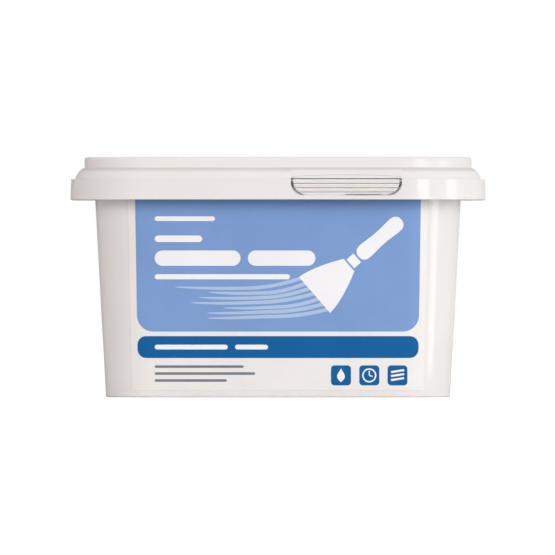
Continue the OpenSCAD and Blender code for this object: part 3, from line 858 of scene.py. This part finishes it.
def tear_tab(f, material):
    """The tab: a closed section with grip grooves, spread sideways by the tongue's half width at each height.

    In the bottom corners the half width is w - r + sqrt(r^2 - (r - h)^2) at a height h above the bottom. The
    side edges are quarter circles between the faces and the middle of the thickness. Painted shade lies in
    the grooves, less of it on the ridges between them, and along the side edges.
    """
    s = f.s
    face_r, crown_r, root_r = 0.2 * MM, 0.06 * MM, 0.04 * MM
    pitch = (f.tab_top - f.tab_low - s.groove_z) / s.groove_count
    path = [(f.collar_in(f.tab_low), f.tab_low, face_r), (f.collar_out(f.tab_low), f.tab_low, face_r)]
    for k in range(s.groove_count):
        z = f.tab_low + s.groove_z + k * pitch
        for up, depth, r in (
            (-s.groove_w / 2, s.ridge_crown, crown_r),
            (0, s.groove_d, root_r),
            (s.groove_w / 2, s.ridge_crown, crown_r),
            (pitch / 2, 0, 0),
        ):
            path.append((f.collar_out(z + up) - depth, z + up, r))
    path += [(f.collar_out(f.tab_top), f.tab_top, face_r), (f.collar_in(f.tab_top), f.tab_top, face_r)]
    rows, mark = rounded([p[:2] for p in path], [p[2] for p in path], steps=3, closed=True, hold=0.1 * MM)
    rows, mark = refined(np.concatenate([rows, rows[:1]]), np.r_[mark, mark[0]], 0.35 * MM)
    rows, mark = rows[:-1], mark[:-1]
    z = rows[:, 0, 1]
    w = (f.tab_x1 - f.tab_x0) / 2
    # Painted shade in the grooves, on the ridges between them and along the side edges beside the slots
    ridge_shade, side_shade = 0.3, 0.8
    depth = f.collar_out(z) - rows[:, 0, 0]
    groove = np.clip((depth - s.ridge_crown) / (s.groove_d - s.ridge_crown), 0, 1)
    between = (z > f.tab_low + s.groove_z) & (z < f.tab_top - s.groove_z)
    on_crown = (np.abs(depth) < 0.3 * s.ridge_crown) & between
    groove = groove * (depth < s.groove_d * 1.01) + ridge_shade * on_crown
    up = np.clip(f.tab_low + s.tab_r - z, 0, s.tab_r)
    half = w - s.tab_r + np.sqrt(s.tab_r**2 - up**2)
    e = 0.3 * MM
    a = np.linspace(0, math.pi / 2, 5)
    inset = np.r_[0, e * (1 - np.cos(a)), e * 2.5, w * 0.4, w * 0.8]
    thin = np.r_[0, 1 - e / (s.collar_t / 2) * (1 - np.sin(a)), 1, 1, 1]
    inset, thin = np.r_[inset, inset[::-1]], np.r_[thin, thin[::-1]]
    middle = (f.collar_in(z) + f.collar_out(z) - s.groove_d / 2) / 2
    x = (half[:, None] - inset) * np.repeat([-1, 1], len(inset) // 2)
    reach = middle[:, None] + (rows[:, 0, :1] - middle[:, None]) * thin
    groove = np.maximum(groove[:, None], side_shade * np.clip(1 - inset / e, 0, 1))
    grid = np.stack([x + f.tab_mid, -f.centre[1] - reach, np.broadcast_to(z[:, None], x.shape)], -1)
    wrap, names = (True, False), ["tear_tab"]
    return surface("tab_plate", [grid], "tear_tab", material, names, wrap, mark, groove)


# The labels, drawn in p, the distance to the right along the wall, and z, the height

def on_label(f, side):
    """Places a label's points on a long side.

    p runs along the flat, and round a corner the angle is (|p| - c) / R, with c the flat's half length and R
    the wall's reach at the label's half height. The rear label is the front one turned half round.
    """
    turn_reach = f.wall_out((f.film_low + f.film_high) / 2)

    def place(p, z, lift):
        angle = np.clip(np.abs(p) - f.centre[0], 0, None) / turn_reach
        reach = f.wall_out(z) + f.s.film_gap + lift
        x = np.sign(p) * (np.minimum(np.abs(p), f.centre[0]) + reach * np.sin(angle))
        y = f.centre[1] + reach * np.cos(angle)
        return np.stack([side * x, -side * y, z], -1)

    return place


def band(p0, p1, z0, z1, low_r=0.0, high_r=0.0, longest=2.5 * MM):
    """A rectangle as columns from a low to a high edge.

    Within r of an end its edges are drawn in by r - sqrt(r^2 - (r - d)^2), with d the distance from that end.
    """
    r = max(low_r, high_r)
    turn = r * (1 - np.cos(np.linspace(0, math.pi / 2, 8 if r else 1)))
    count = max(2, math.ceil((p1 - p0 - 2 * r) / longest) + 1)
    p = np.r_[p0 + turn, np.linspace(p0 + r, p1 - r, count)[1:-1], (p1 - turn)[::-1]]
    near = np.minimum(p - p0, p1 - p)

    def drawn_in(radius):
        return radius - np.sqrt(radius**2 - np.clip(radius - near, 0, radius) ** 2)

    return np.stack([p, p]), np.stack([z0 + drawn_in(low_r), z1 - drawn_in(high_r)])


def pill(p0, p1, z0, height):
    """A bar with round ends."""
    return band(p0, p1, z0, z0 + height, height / 2, height / 2, 8 * MM)


def ribbon(path, half):
    """A strip along a path: its edges lie half to either side of it, square to its direction.

    path is (n, 2), and half is one value or n values.
    """
    ahead = np.gradient(path, axis=0)
    ahead /= np.linalg.norm(ahead, axis=1)[:, None]
    aside = np.stack([-ahead[:, 1], ahead[:, 0]], 1) * np.broadcast_to(half, len(path))[:, None]
    edges = np.stack([path + aside, path - aside])
    return edges[..., 0], edges[..., 1]


def line(start, end, half):
    """A straight strip between two points."""
    return ribbon(np.array([start, end]), half)


def circle(middle, radius, half):
    """A ring as a strip along middle + radius (sin a, cos a)."""
    a = np.linspace(0, 2 * math.pi, 33)
    return ribbon(np.array(middle) + radius * np.stack([np.sin(a), np.cos(a)], 1), half)


def knife(edge, angle):
    """A filling knife: a flared blade, a neck and a handle with round ends, as strips along its axis.

    The blade's half width falls as the distance to the power 1.5. With u from -1 to 1 along the handle, its
    half width is sqrt(1 - u^8), less a waist of sin^2.
    """
    blade, edge_half, narrowing = 25 * MM, 13 * MM, 8.5 * MM
    neck_start, neck_end, neck_half = 26 * MM, 31 * MM, 3.2 * MM
    grip_start, grip, grip_half, waist = 32 * MM, 31 * MM, 4.6 * MM, 0.18
    axis = np.array([math.cos(angle), math.sin(angle)])
    along = np.linspace(0, blade, 12)
    share = (1 - np.cos(np.linspace(0, math.pi, 41))) / 2
    round_ends = np.sqrt(np.clip(1 - (2 * share - 1) ** 8, 0, 1))
    strips = [
        (along, edge_half - narrowing * (along / blade) ** 1.5),
        (np.linspace(neck_start, neck_end, 3), neck_half),
        (grip_start + grip * share, grip_half * round_ends * (1 - waist * np.sin(math.pi * share) ** 2)),
    ]
    return [ribbon(edge + place[:, None] * axis, half) for place, half in strips]


def smear(edge, angle):
    """What the knife leaves behind it: streaks side by side, each a long wave that starts under the blade.

    With t from 0 to 1 along a streak, it falls to its level as 1 - (1 - 2.4t)^2, waves as sin(5t) and thins
    out as sqrt(1 - t^3).
    """
    spread, tuck, drop, wave = 11 * MM, 1.2 * MM, 4 * MM, 0.5 * MM
    ahead = np.array([math.cos(angle), math.sin(angle)])
    across = np.array([-math.sin(angle), math.cos(angle)])
    t = np.linspace(0, 1, 40)
    fall = 1 - (1 - np.minimum(2.4 * t, 1)) ** 2
    streaks = []
    for k, place in enumerate(np.linspace(-spread, spread, 7)):
        long = (62 + 9 * math.sin(2.2 * k + 0.6)) * MM
        start = edge + across * place + tuck * ahead
        level = edge[1] - drop + place * 0.74
        z = start[1] + (level - start[1]) * fall + wave * np.sin(5 * t + 0.3 * k)
        half = (1.0 + 0.12 * math.sin(3.1 * k)) * MM * np.sqrt(np.clip(1 - t**3, 0, 1))
        streaks.append(ribbon(np.stack([start[0] - long * t, z], 1), half))
    return streaks


def small_print(p0, p1, top, bottom, pitch, height):
    """Lines of small print as thin bars whose lengths vary as 0.84 + 0.16 sin(2.4 k)."""
    k = np.arange(int((top - bottom) / pitch))
    ends = p0 + (p1 - p0) * (0.84 + 0.16 * np.sin(2.4 * k))
    return [pill(p0, end, low, height) for end, low in zip(ends, top - height - k * pitch)]


def icon_row(s, p0, z0, step, count):
    """A row of rounded squares."""
    r = 2 * MM
    return [band(p0 + k * step, p0 + k * step + s.icon, z0, z0 + s.icon, r, r) for k in range(count)]


def icon_signs(s, p0, z0, step):
    """Signs for the squares: a drop of half width sin(pi t) (1.15 - 0.75 t), a clock and three coats."""
    c = s.icon / 2
    t = np.linspace(0, 1, 25)
    drop_low, drop_long, drop_half = z0 + 1.8 * MM, 7.6 * MM, 2.6 * MM
    drop = np.stack([np.full(len(t), p0 + c), drop_low + t * drop_long], 1)
    clock = np.array([p0 + step + c, z0 + c])
    long_hand, short_hand = [0, 2.5 * MM], [1.8 * MM, -0.6 * MM]
    coat, coat_step, coat_half = np.array([7.2 * MM, 1.1 * MM]), 2.2 * MM, 0.55 * MM
    first = np.array([p0 + 2 * step + c - 3.6 * MM, z0 + c - 2.6 * MM])
    coats = [first + [0, k * coat_step] for k in range(3)]
    return [
        ribbon(drop, drop_half * np.sin(math.pi * t) * (1.15 - 0.75 * t)),
        circle(clock, 3.5 * MM, 0.38 * MM),
        *[line(clock, clock + hand, 0.32 * MM) for hand in (long_hand, short_hand)],
        *[line(start, start + coat, coat_half) for start in coats],
    ]


def front_print(f):
    """The front: a pale field with rounded lower corners and a dark stripe below it, and a filling knife.

    The knife leaves a smear, plain bars stand where the words were, and there are small picture squares.
    """
    s = f.s
    half, left, stripe_top = s.print_half, PRINT_MARGIN - s.print_half, s.stripe_low + s.stripe_h
    edge, angle = np.array([20 * MM, 56 * MM]), math.radians(41)
    icons = 29 * MM, 6.5 * MM, ICON_STEP
    stripe_r, stripe_bar = 5 * MM, (s.stripe_low + stripe_top) / 2 / MM - 1.3
    # In millimetres: each bar's start and end from the margin, its height above the ground and its thickness
    bars = [
        (0, 33, 96.5, 2.6),
        (0, 26, 85, 3.6),
        (0, 47, 72, 8.4),
        (51, 88, 72, 8.4),
        (0, 74, 64.6, 2.8),
        (0, 40, stripe_bar, 2.6),
        (44, 62, stripe_bar, 2.6),
    ]
    return {
        "field": [band(-half, half, s.field_low, f.print_top, s.field_r, 0)],
        "stripe": [band(-half, half, s.stripe_low, stripe_top, stripe_r, stripe_r), *icon_row(s, *icons, 3)],
        "smear": smear(edge, angle),
        "bars": [
            *[pill(left + p0 * MM, left + p1 * MM, low * MM, height * MM) for p0, p1, low, height in bars],
            *knife(edge, angle),
            *icon_signs(s, *icons),
        ],
        "small_print": small_print(left, left + 58 * MM, 17.5 * MM, 6 * MM, 3.8 * MM, SMALL_PRINT),
    }


def rear_print(f):
    """The back: a pale header over a dark line, small print in columns, upright bars and picture squares."""
    s = f.s
    half, left = s.print_half, PRINT_MARGIN - s.print_half
    icons = 24 * MM, 61 * MM, ICON_STEP
    header_low, header_r, foot_r = 89 * MM, 4 * MM, 3 * MM
    # The upright bars' widths and gaps run through three and four sizes
    k = np.arange(26)
    widths = (0.35 + 0.3 * ((k * 7) % 3)) * MM
    ends = 30 * MM + np.cumsum(widths + (0.45 + 0.25 * ((k * 5) % 4)) * MM)
    return {
        "field": [band(-half, half, header_low, f.print_top, header_r, 0)],
        "stripe": [
            band(-half, half, 82.5 * MM, 86.5 * MM),
            band(-half, half, 9 * MM, 15 * MM, foot_r, foot_r),
            *icon_row(s, *icons, 3),
        ],
        "bars": [pill(left, left + 62 * MM, 95.5 * MM, 5.6 * MM), *icon_signs(s, *icons)],
        "small_print": [
            *small_print(left, left + 38 * MM, 78 * MM, 20 * MM, 3.5 * MM, SMALL_PRINT),
            *small_print(left + 43 * MM, left + 81 * MM, 78 * MM, 20 * MM, 3.5 * MM, SMALL_PRINT),
            *[band(end - width, end, 31 * MM, 50 * MM) for end, width in zip(ends, widths)],
        ],
    }


def label(f, side, name, print_parts):
    """A film on the wall with its print.

    Each ink is a thin plate that is rooted in the film's face, and the later inks stand a little higher.
    """
    s, c = f.s, palette()
    place = on_label(f, side)
    end = f.centre[0] + s.film_wrap * f.wall_out((f.film_low + f.film_high) / 2)
    film = [plate(place, *band(-end, end, f.film_low, f.film_high), 0, s.film_t)]
    surface(f"{name}_film", film, "tub", ink("film white", c.paper), [name], (True, False))
    inks = {
        "field": (1, c.pale),
        "stripe": (1, c.deep),
        "smear": (2, c.tint),
        "bars": (3, c.bright),
        "small_print": (1, c.grey),
    }
    root = s.ink_t / 3
    for part, shapes in print_parts.items():
        layer, tint = inks[part]
        plates = [plate(place, p, z, s.film_t - root, layer * s.ink_t + root) for p, z in shapes]
        surface(f"{name}_{part}", plates, "tub", ink(f"ink {part}", tint), (), (True, False))


# The contents

def trowelled(f, x, y, reach):
    """How far the filler's top lies below its level.

    Arcs of the trowel about a far point, 1 + sin(2 pi r / 41 mm), carry finer ridges, 1 + sin(2 pi r / 6 mm),
    and both die away over the last 14 mm before the wall.
    """
    s = f.s
    swing_x, swing_y, broad_pitch, fine_pitch, fade = -95 * MM, -170 * MM, 41 * MM, 6 * MM, 14 * MM
    r = np.hypot(x - swing_x, y - swing_y)
    broad = 0.5 + 0.5 * np.sin(2 * math.pi * r / broad_pitch + np.sin(x / (23 * MM)))
    fine = 0.5 + 0.5 * np.sin(2 * math.pi * r / fine_pitch + 1.5 * np.sin(x / (31 * MM)))
    inward = np.clip((f.wall_in(f.fill_top) - s.fill_gap - reach) / fade, 0, 1)
    return 0.1 * MM + s.trowel_d * inward * (0.75 * broad + 0.25 * fine)


def filler(f, material):
    """The filler: bottom, sides and trowelled top as one path."""
    s = f.s
    cut = 2 * MM + s.fill_gap
    side = f.wall_in(f.fill_top) - s.fill_gap
    path = [
        (-f.centre[1], f.floor_top, 0),
        (f.wall_in(f.floor_top) - s.fill_gap - cut, f.floor_top, 0),
        (f.wall_in(f.floor_top + cut) - s.fill_gap, f.floor_top + cut, 0),
        (side, f.fill_top, 0.6 * MM),
        (-f.centre[1], f.fill_top, 0),
    ]
    rows, mark = rounded([p[:2] for p in path], [p[2] for p in path])
    rows, mark = refined(rows, mark, 2 * MM)
    centre, direction = columns(f, side_steps=44)
    grid = carried(f, rows, centre, direction)
    on_top = (rows[..., 1] > f.fill_top - WELD) & (rows[..., 0] < side)
    grid[..., 2] -= np.where(on_top, trowelled(f, grid[..., 0], grid[..., 1], rows[..., 0]), 0)
    return surface("filler_paste_body", [grid], "tub", material, ["filler_paste"], edge=mark)


def cover_sheet(f, material):
    """The loose polythene sheet: it lies on the filler in low waves, and its edge turns up a little.

    The waves are (0.5 + 0.5 sin)^2 of one direction times the same of another, with lengths in millimetres.
    """
    s = f.s
    reach, turned_up = f.wall_in(f.fill_top) - s.sheet_gap, 9 * MM
    path = [(-f.centre[1], 0), (reach, 0), (reach, s.sheet_t), (-f.centre[1], s.sheet_t)]
    rows, mark = refined(*rounded([(r, f.fill_top + z) for r, z in path], [0] * len(path)), 3 * MM)
    centre, direction = columns(f, side_steps=30)
    grid = carried(f, rows, centre, direction)
    x, y = grid[..., 0] / MM, grid[..., 1] / MM
    wave = (0.5 + 0.5 * np.sin(x / 13 + 1.7 * np.sin(y / 24))) ** 2
    wave = wave * (0.5 + 0.5 * np.sin(y / 17 - x / 41)) ** 2
    edge = np.clip((rows[..., 0] - reach) / turned_up + 1, 0, 1) ** 2
    grid[..., 2] += s.sheet_wave * (2 * wave + edge * (0.6 + 0.4 * np.sin(x / 7 + y / 9)))
    sheet = surface("cover_film_sheet", [grid], "tub", material, ["cover_film"], edge=mark)
    return sheet


def filler_material():
    """Smooth damp filler: a fine chalky grain, small air pits and faint drag lines of the trowel."""
    made, tree, shader, vector = new_material("filler")
    pale = palette().filler
    grain_height, pit_depth = 0.3, -2.0
    grain = noise(tree, vector, 1500, 4)
    drag = noise(tree, vector, 420, 3, (0.3, 1, 1))
    cells = add(tree, "ShaderNodeTexVoronoi", {"Vector": vector, "Scale": 260.0}).outputs["Distance"]
    pits = ramp(tree, cells, 0.1, 0.22, 1.0, 0.0)
    tone = ramp(tree, noise(tree, vector, 34, 4), 0.3, 0.7)
    tree.links.new(mixed(tree, tone, tuple(0.93 * v for v in pale), pale), shader.inputs["Base Color"])
    tree.links.new(ramp(tree, grain, 0.3, 0.7, 0.42, 0.6), shader.inputs["Roughness"])
    height = sum_of(tree, sum_of(tree, times(tree, grain, grain_height), drag), times(tree, pits, pit_depth))
    bumped(tree, shader, height, 0.06 * MM, 0.8)
    return made


def sheet_material():
    """Thin milky polythene: it is see-through, its haze is cloudy, and fine creases run over it."""
    made, tree, shader, vector = new_material("clear sheet")
    shader.inputs["Base Color"].default_value = (0.86, 0.9, 0.93, 1)
    haze = noise(tree, vector, 40, 4)
    tree.links.new(ramp(tree, haze, 0.3, 0.7, 0.1, 0.18), shader.inputs["Alpha"])
    tree.links.new(ramp(tree, haze, 0.3, 0.7, 0.1, 0.24), shader.inputs["Roughness"])
    bumped(tree, shader, noise(tree, vector, 120, 5, (1, 0.4, 1)), 0.4 * MM, 0.6)
    return made


# The studio

def in_view(tree):
    """1 for what the camera sees, directly, in a reflection or through something clear."""
    path = add(tree, "ShaderNodeLightPath").outputs
    seen = sum_of(tree, path["Is Camera Ray"], path["Is Glossy Ray"])
    return sum_of(tree, seen, path["Is Transmission Ray"])


def make_floor():
    """A wide flat floor of a pale colour that shows almost white and keeps the tub's shadow."""
    far, glow_in_view = 9.0, 0.62
    made = bpy.data.meshes.new("floor")
    made.from_pydata([(-far, -far, 0), (far, -far, 0), (far, far, 0), (-far, far, 0)], [], [(0, 1, 2, 3)])
    floor = bpy.data.objects.new("floor", made)
    bpy.context.scene.collection.objects.link(floor)
    material, tree, shader = new_material("pale floor")[:3]
    shader.inputs["Base Color"].default_value = (*palette().floor, 1)
    shader.inputs["Roughness"].default_value = 0.9
    shader.inputs["Specular IOR Level"].default_value = 0.1
    strength = times(tree, in_view(tree), glow_in_view)
    glow = add(tree, "ShaderNodeEmission", {"Color": WHITE, "Strength": strength})
    both = add(tree, "ShaderNodeAddShader", {0: shader.outputs[0], 1: glow.outputs[0]})
    output = next(n for n in tree.nodes if n.type == "OUTPUT_MATERIAL")
    tree.links.new(both.outputs[0], output.inputs[0])
    made.materials.append(material)


def make_world():
    """A light tent: its front, back and right walls glow most, between 4 and 27 degrees of height.

    Its slanted roof glows more dimly above them, and its flat top again above that. The left is slightly pink
    and the top slightly warm. What is in view sees plain white instead.
    """
    # The upward part of the direction at which the walls, the roof and the top begin, and how far each blends
    wall_z, roof_z, top_z, blend = 0.05, 0.434, 0.8, 0.04
    pink, neutral, warm = (0.88, 0.76, 0.77), (1.0, 0.995, 0.99), (1.0, 0.97, 0.9)
    world = bpy.data.worlds.new("studio")
    bpy.context.scene.world = world
    world.use_nodes = True
    tree = world.node_tree
    tree.nodes.clear()

    def above(z, to_low=0.0, to_high=1.0):
        return ramp(tree, axes["Z"], z, z + blend, to_low, to_high)

    def part_towards(side):
        part = times(tree, axes["X"], side)
        return add(tree, "ShaderNodeMath", {0: part, 1: 0.0}, operation="MAXIMUM").outputs[0]

    direction = tree.nodes.new("ShaderNodeTexCoord").outputs["Generated"]
    axes = add(tree, "ShaderNodeSeparateXYZ", {0: direction}).outputs
    facing = add(tree, "ShaderNodeMath", {0: axes["Y"]}, operation="ABSOLUTE").outputs[0]
    right, left = part_towards(1.0), part_towards(-1.0)
    walls = times(tree, facing, ramp(tree, axes["Y"], -0.1, 0.1, TENT_FRONT, TENT_BACK))
    walls = sum_of(tree, walls, times(tree, right, TENT_RIGHT))
    walls = times(tree, walls, times(tree, above(wall_z), above(roof_z, 1.0, 0.0)))
    roof = sum_of(tree, times(tree, right, TENT_HIGH_RIGHT), times(tree, left, TENT_HIGH_LEFT))
    roof = sum_of(tree, roof, times(tree, facing, TENT_HIGH_FRONT))
    roof = times(tree, roof, times(tree, above(roof_z), above(top_z, 1.0, 0.0)))
    glow = sum_of(tree, sum_of(tree, walls, roof), above(top_z, 0.0, TENT_TOP))
    tint = mixed(tree, ramp(tree, axes["X"], -1.0, 0.3), pink, neutral)
    tint = mixed(tree, ramp(tree, axes["Z"], roof_z, top_z + blend), tint, warm)
    light = add(tree, "ShaderNodeBackground", {"Color": tint, "Strength": glow})
    white = add(tree, "ShaderNodeBackground", {"Color": WHITE, "Strength": 1.0})
    mix = add(tree, "ShaderNodeMixShader", {0: in_view(tree), 1: light.outputs[0], 2: white.outputs[0]})
    tree.links.new(mix.outputs[0], tree.nodes.new("ShaderNodeOutputWorld").inputs[0])


def softbox(name, azimuth, elevation, distance, width, height, power):
    """A rectangular softbox that faces the tub's middle. Azimuth 0 is in front, and 90 is to the right."""
    light = bpy.data.lights.new(name, "AREA")
    light.shape, light.size, light.size_y, light.energy = "RECTANGLE", width, height, power
    made = bpy.data.objects.new(name, light)
    bpy.context.scene.collection.objects.link(made)
    a, e = math.radians(azimuth), math.radians(elevation)
    back = np.array([math.sin(a) * math.cos(e), -math.cos(a) * math.cos(e), math.sin(e)])
    made.location = np.array([0, 0, AIM_Z]) + back * distance
    made.visible_camera = False
    made.rotation_mode = "QUATERNION"
    made.rotation_quaternion = Vector(-back).to_track_quat("-Z", "Y")


def make_lights():
    """A panel in front on the right, and an upright strip near the tub that its right corner mirrors."""
    softbox("panel", azimuth=28, elevation=4, distance=1.2, width=0.32, height=0.3, power=0.55)
    softbox("strip", azimuth=59, elevation=1.1, distance=0.21, width=0.032, height=0.134, power=0.02)


def make_camera():
    """A level camera with a long lens, looking along +Y: the photograph shows hardly any perspective."""
    camera = bpy.data.cameras.new("camera")
    made = bpy.data.objects.new("camera", camera)
    bpy.context.scene.collection.objects.link(made)
    camera.lens, camera.sensor_width = 1200, 36
    camera.clip_start, camera.clip_end = 0.1, 60
    distance = PICTURE * PIXEL * camera.lens / camera.sensor_width
    # The picture's scale holds where the tub's sides end in front, so the distance is counted from there
    made.location = (CAMERA_X, -distance - form().centre[1], CAMERA_Z)
    made.rotation_euler = (math.pi / 2, 0, 0)
    bpy.context.scene.camera = made
    bpy.context.scene.view_settings.view_transform = "Standard"


# The operators: one for each group of pieces and one for the stage

class FILLERTUB_OT_tub(bpy.types.Operator):
    """Make the tub's wall, collar and ribs"""

    bl_idname = "filler_tub.tub"
    bl_label = "Tub"

    def execute(self, context):
        f, material = form(), tub_plastic()
        tub_wall(f, material)
        tub_collar(f, material)
        tub_ribs(f, material)
        gate_mark("tub_gate_mark", "tub", f.foot_h, -1, material)
        for name in ("tab_hinge", "tab_bridges"):
            slots = frame["nodes"][name].data.materials
            slots.clear()
            slots.append(material)
        return {"FINISHED"}


class FILLERTUB_OT_lid(bpy.types.Operator):
    """Make the lid and its pull lip"""

    bl_idname = "filler_tub.lid"
    bl_label = "Lid"

    def execute(self, context):
        f, material = form(), lid_plastic()
        lid_shell(f, material)
        pull_lip(f, material)
        gate_mark("lid_gate_mark", "lid", f.panel_top - f.s.panel_sag, 1, material)
        return {"FINISHED"}


class FILLERTUB_OT_tab(bpy.types.Operator):
    """Make the break-off tab"""

    bl_idname = "filler_tub.tab"
    bl_label = "Tear tab"

    def execute(self, context):
        tear_tab(form(), tub_plastic())
        return {"FINISHED"}


class FILLERTUB_OT_labels(bpy.types.Operator):
    """Make the printed films on the front and the back"""

    bl_idname = "filler_tub.labels"
    bl_label = "Labels"

    def execute(self, context):
        f = form()
        label(f, FRONT, "front_label", front_print(f))
        label(f, REAR, "rear_label", rear_print(f))
        return {"FINISHED"}


class FILLERTUB_OT_contents(bpy.types.Operator):
    """Make the filler"""

    bl_idname = "filler_tub.contents"
    bl_label = "Filler"

    def execute(self, context):
        filler(form(), filler_material())
        return {"FINISHED"}


class FILLERTUB_OT_sheet(bpy.types.Operator):
    """Make the loose sheet on the filler"""

    bl_idname = "filler_tub.sheet"
    bl_label = "Cover sheet"

    def execute(self, context):
        cover_sheet(form(), sheet_material())
        return {"FINISHED"}


class FILLERTUB_OT_stage(bpy.types.Operator):
    """Make the floor, the lights and the camera"""

    bl_idname = "filler_tub.stage"
    bl_label = "Studio"

    def execute(self, context):
        make_floor()
        make_world()
        make_lights()
        make_camera()
        return {"FINISHED"}


class FILLERTUB_PT_panel(bpy.types.Panel):
    """Lists the tub's pieces in the sidebar"""

    bl_idname = "FILLERTUB_PT_panel"
    bl_label = "Wall filler tub"
    bl_space_type = "VIEW_3D"
    bl_region_type = "UI"
    bl_category = "Filler tub"

    def draw(self, context):
        for operator in OPERATORS:
            self.layout.operator(operator.bl_idname)


OPERATORS = (
    FILLERTUB_OT_stage,
    FILLERTUB_OT_tub,
    FILLERTUB_OT_tab,
    FILLERTUB_OT_labels,
    FILLERTUB_OT_contents,
    FILLERTUB_OT_sheet,
    FILLERTUB_OT_lid,
)
CLASSES = (FillerTubSizes, FillerTubColours, *OPERATORS, FILLERTUB_PT_panel)


def register():
    for each in CLASSES:
        bpy.utils.register_class(each)
    bpy.types.Scene.filler_tub_sizes = bpy.props.PointerProperty(type=FillerTubSizes)
    bpy.types.Scene.filler_tub_colours = bpy.props.PointerProperty(type=FillerTubColours)


def unregister():
    del bpy.types.Scene.filler_tub_sizes
    del bpy.types.Scene.filler_tub_colours
    for each in reversed(CLASSES):
        bpy.utils.unregister_class(each)


def main():
    register()
    bpy.ops.filler_tub.stage()
    bpy.ops.filler_tub.tub()
    bpy.ops.filler_tub.tab()
    bpy.ops.filler_tub.labels()
    bpy.ops.filler_tub.contents()
    bpy.ops.filler_tub.sheet()
    bpy.ops.filler_tub.lid()


if __name__ == "__main__":
    main()
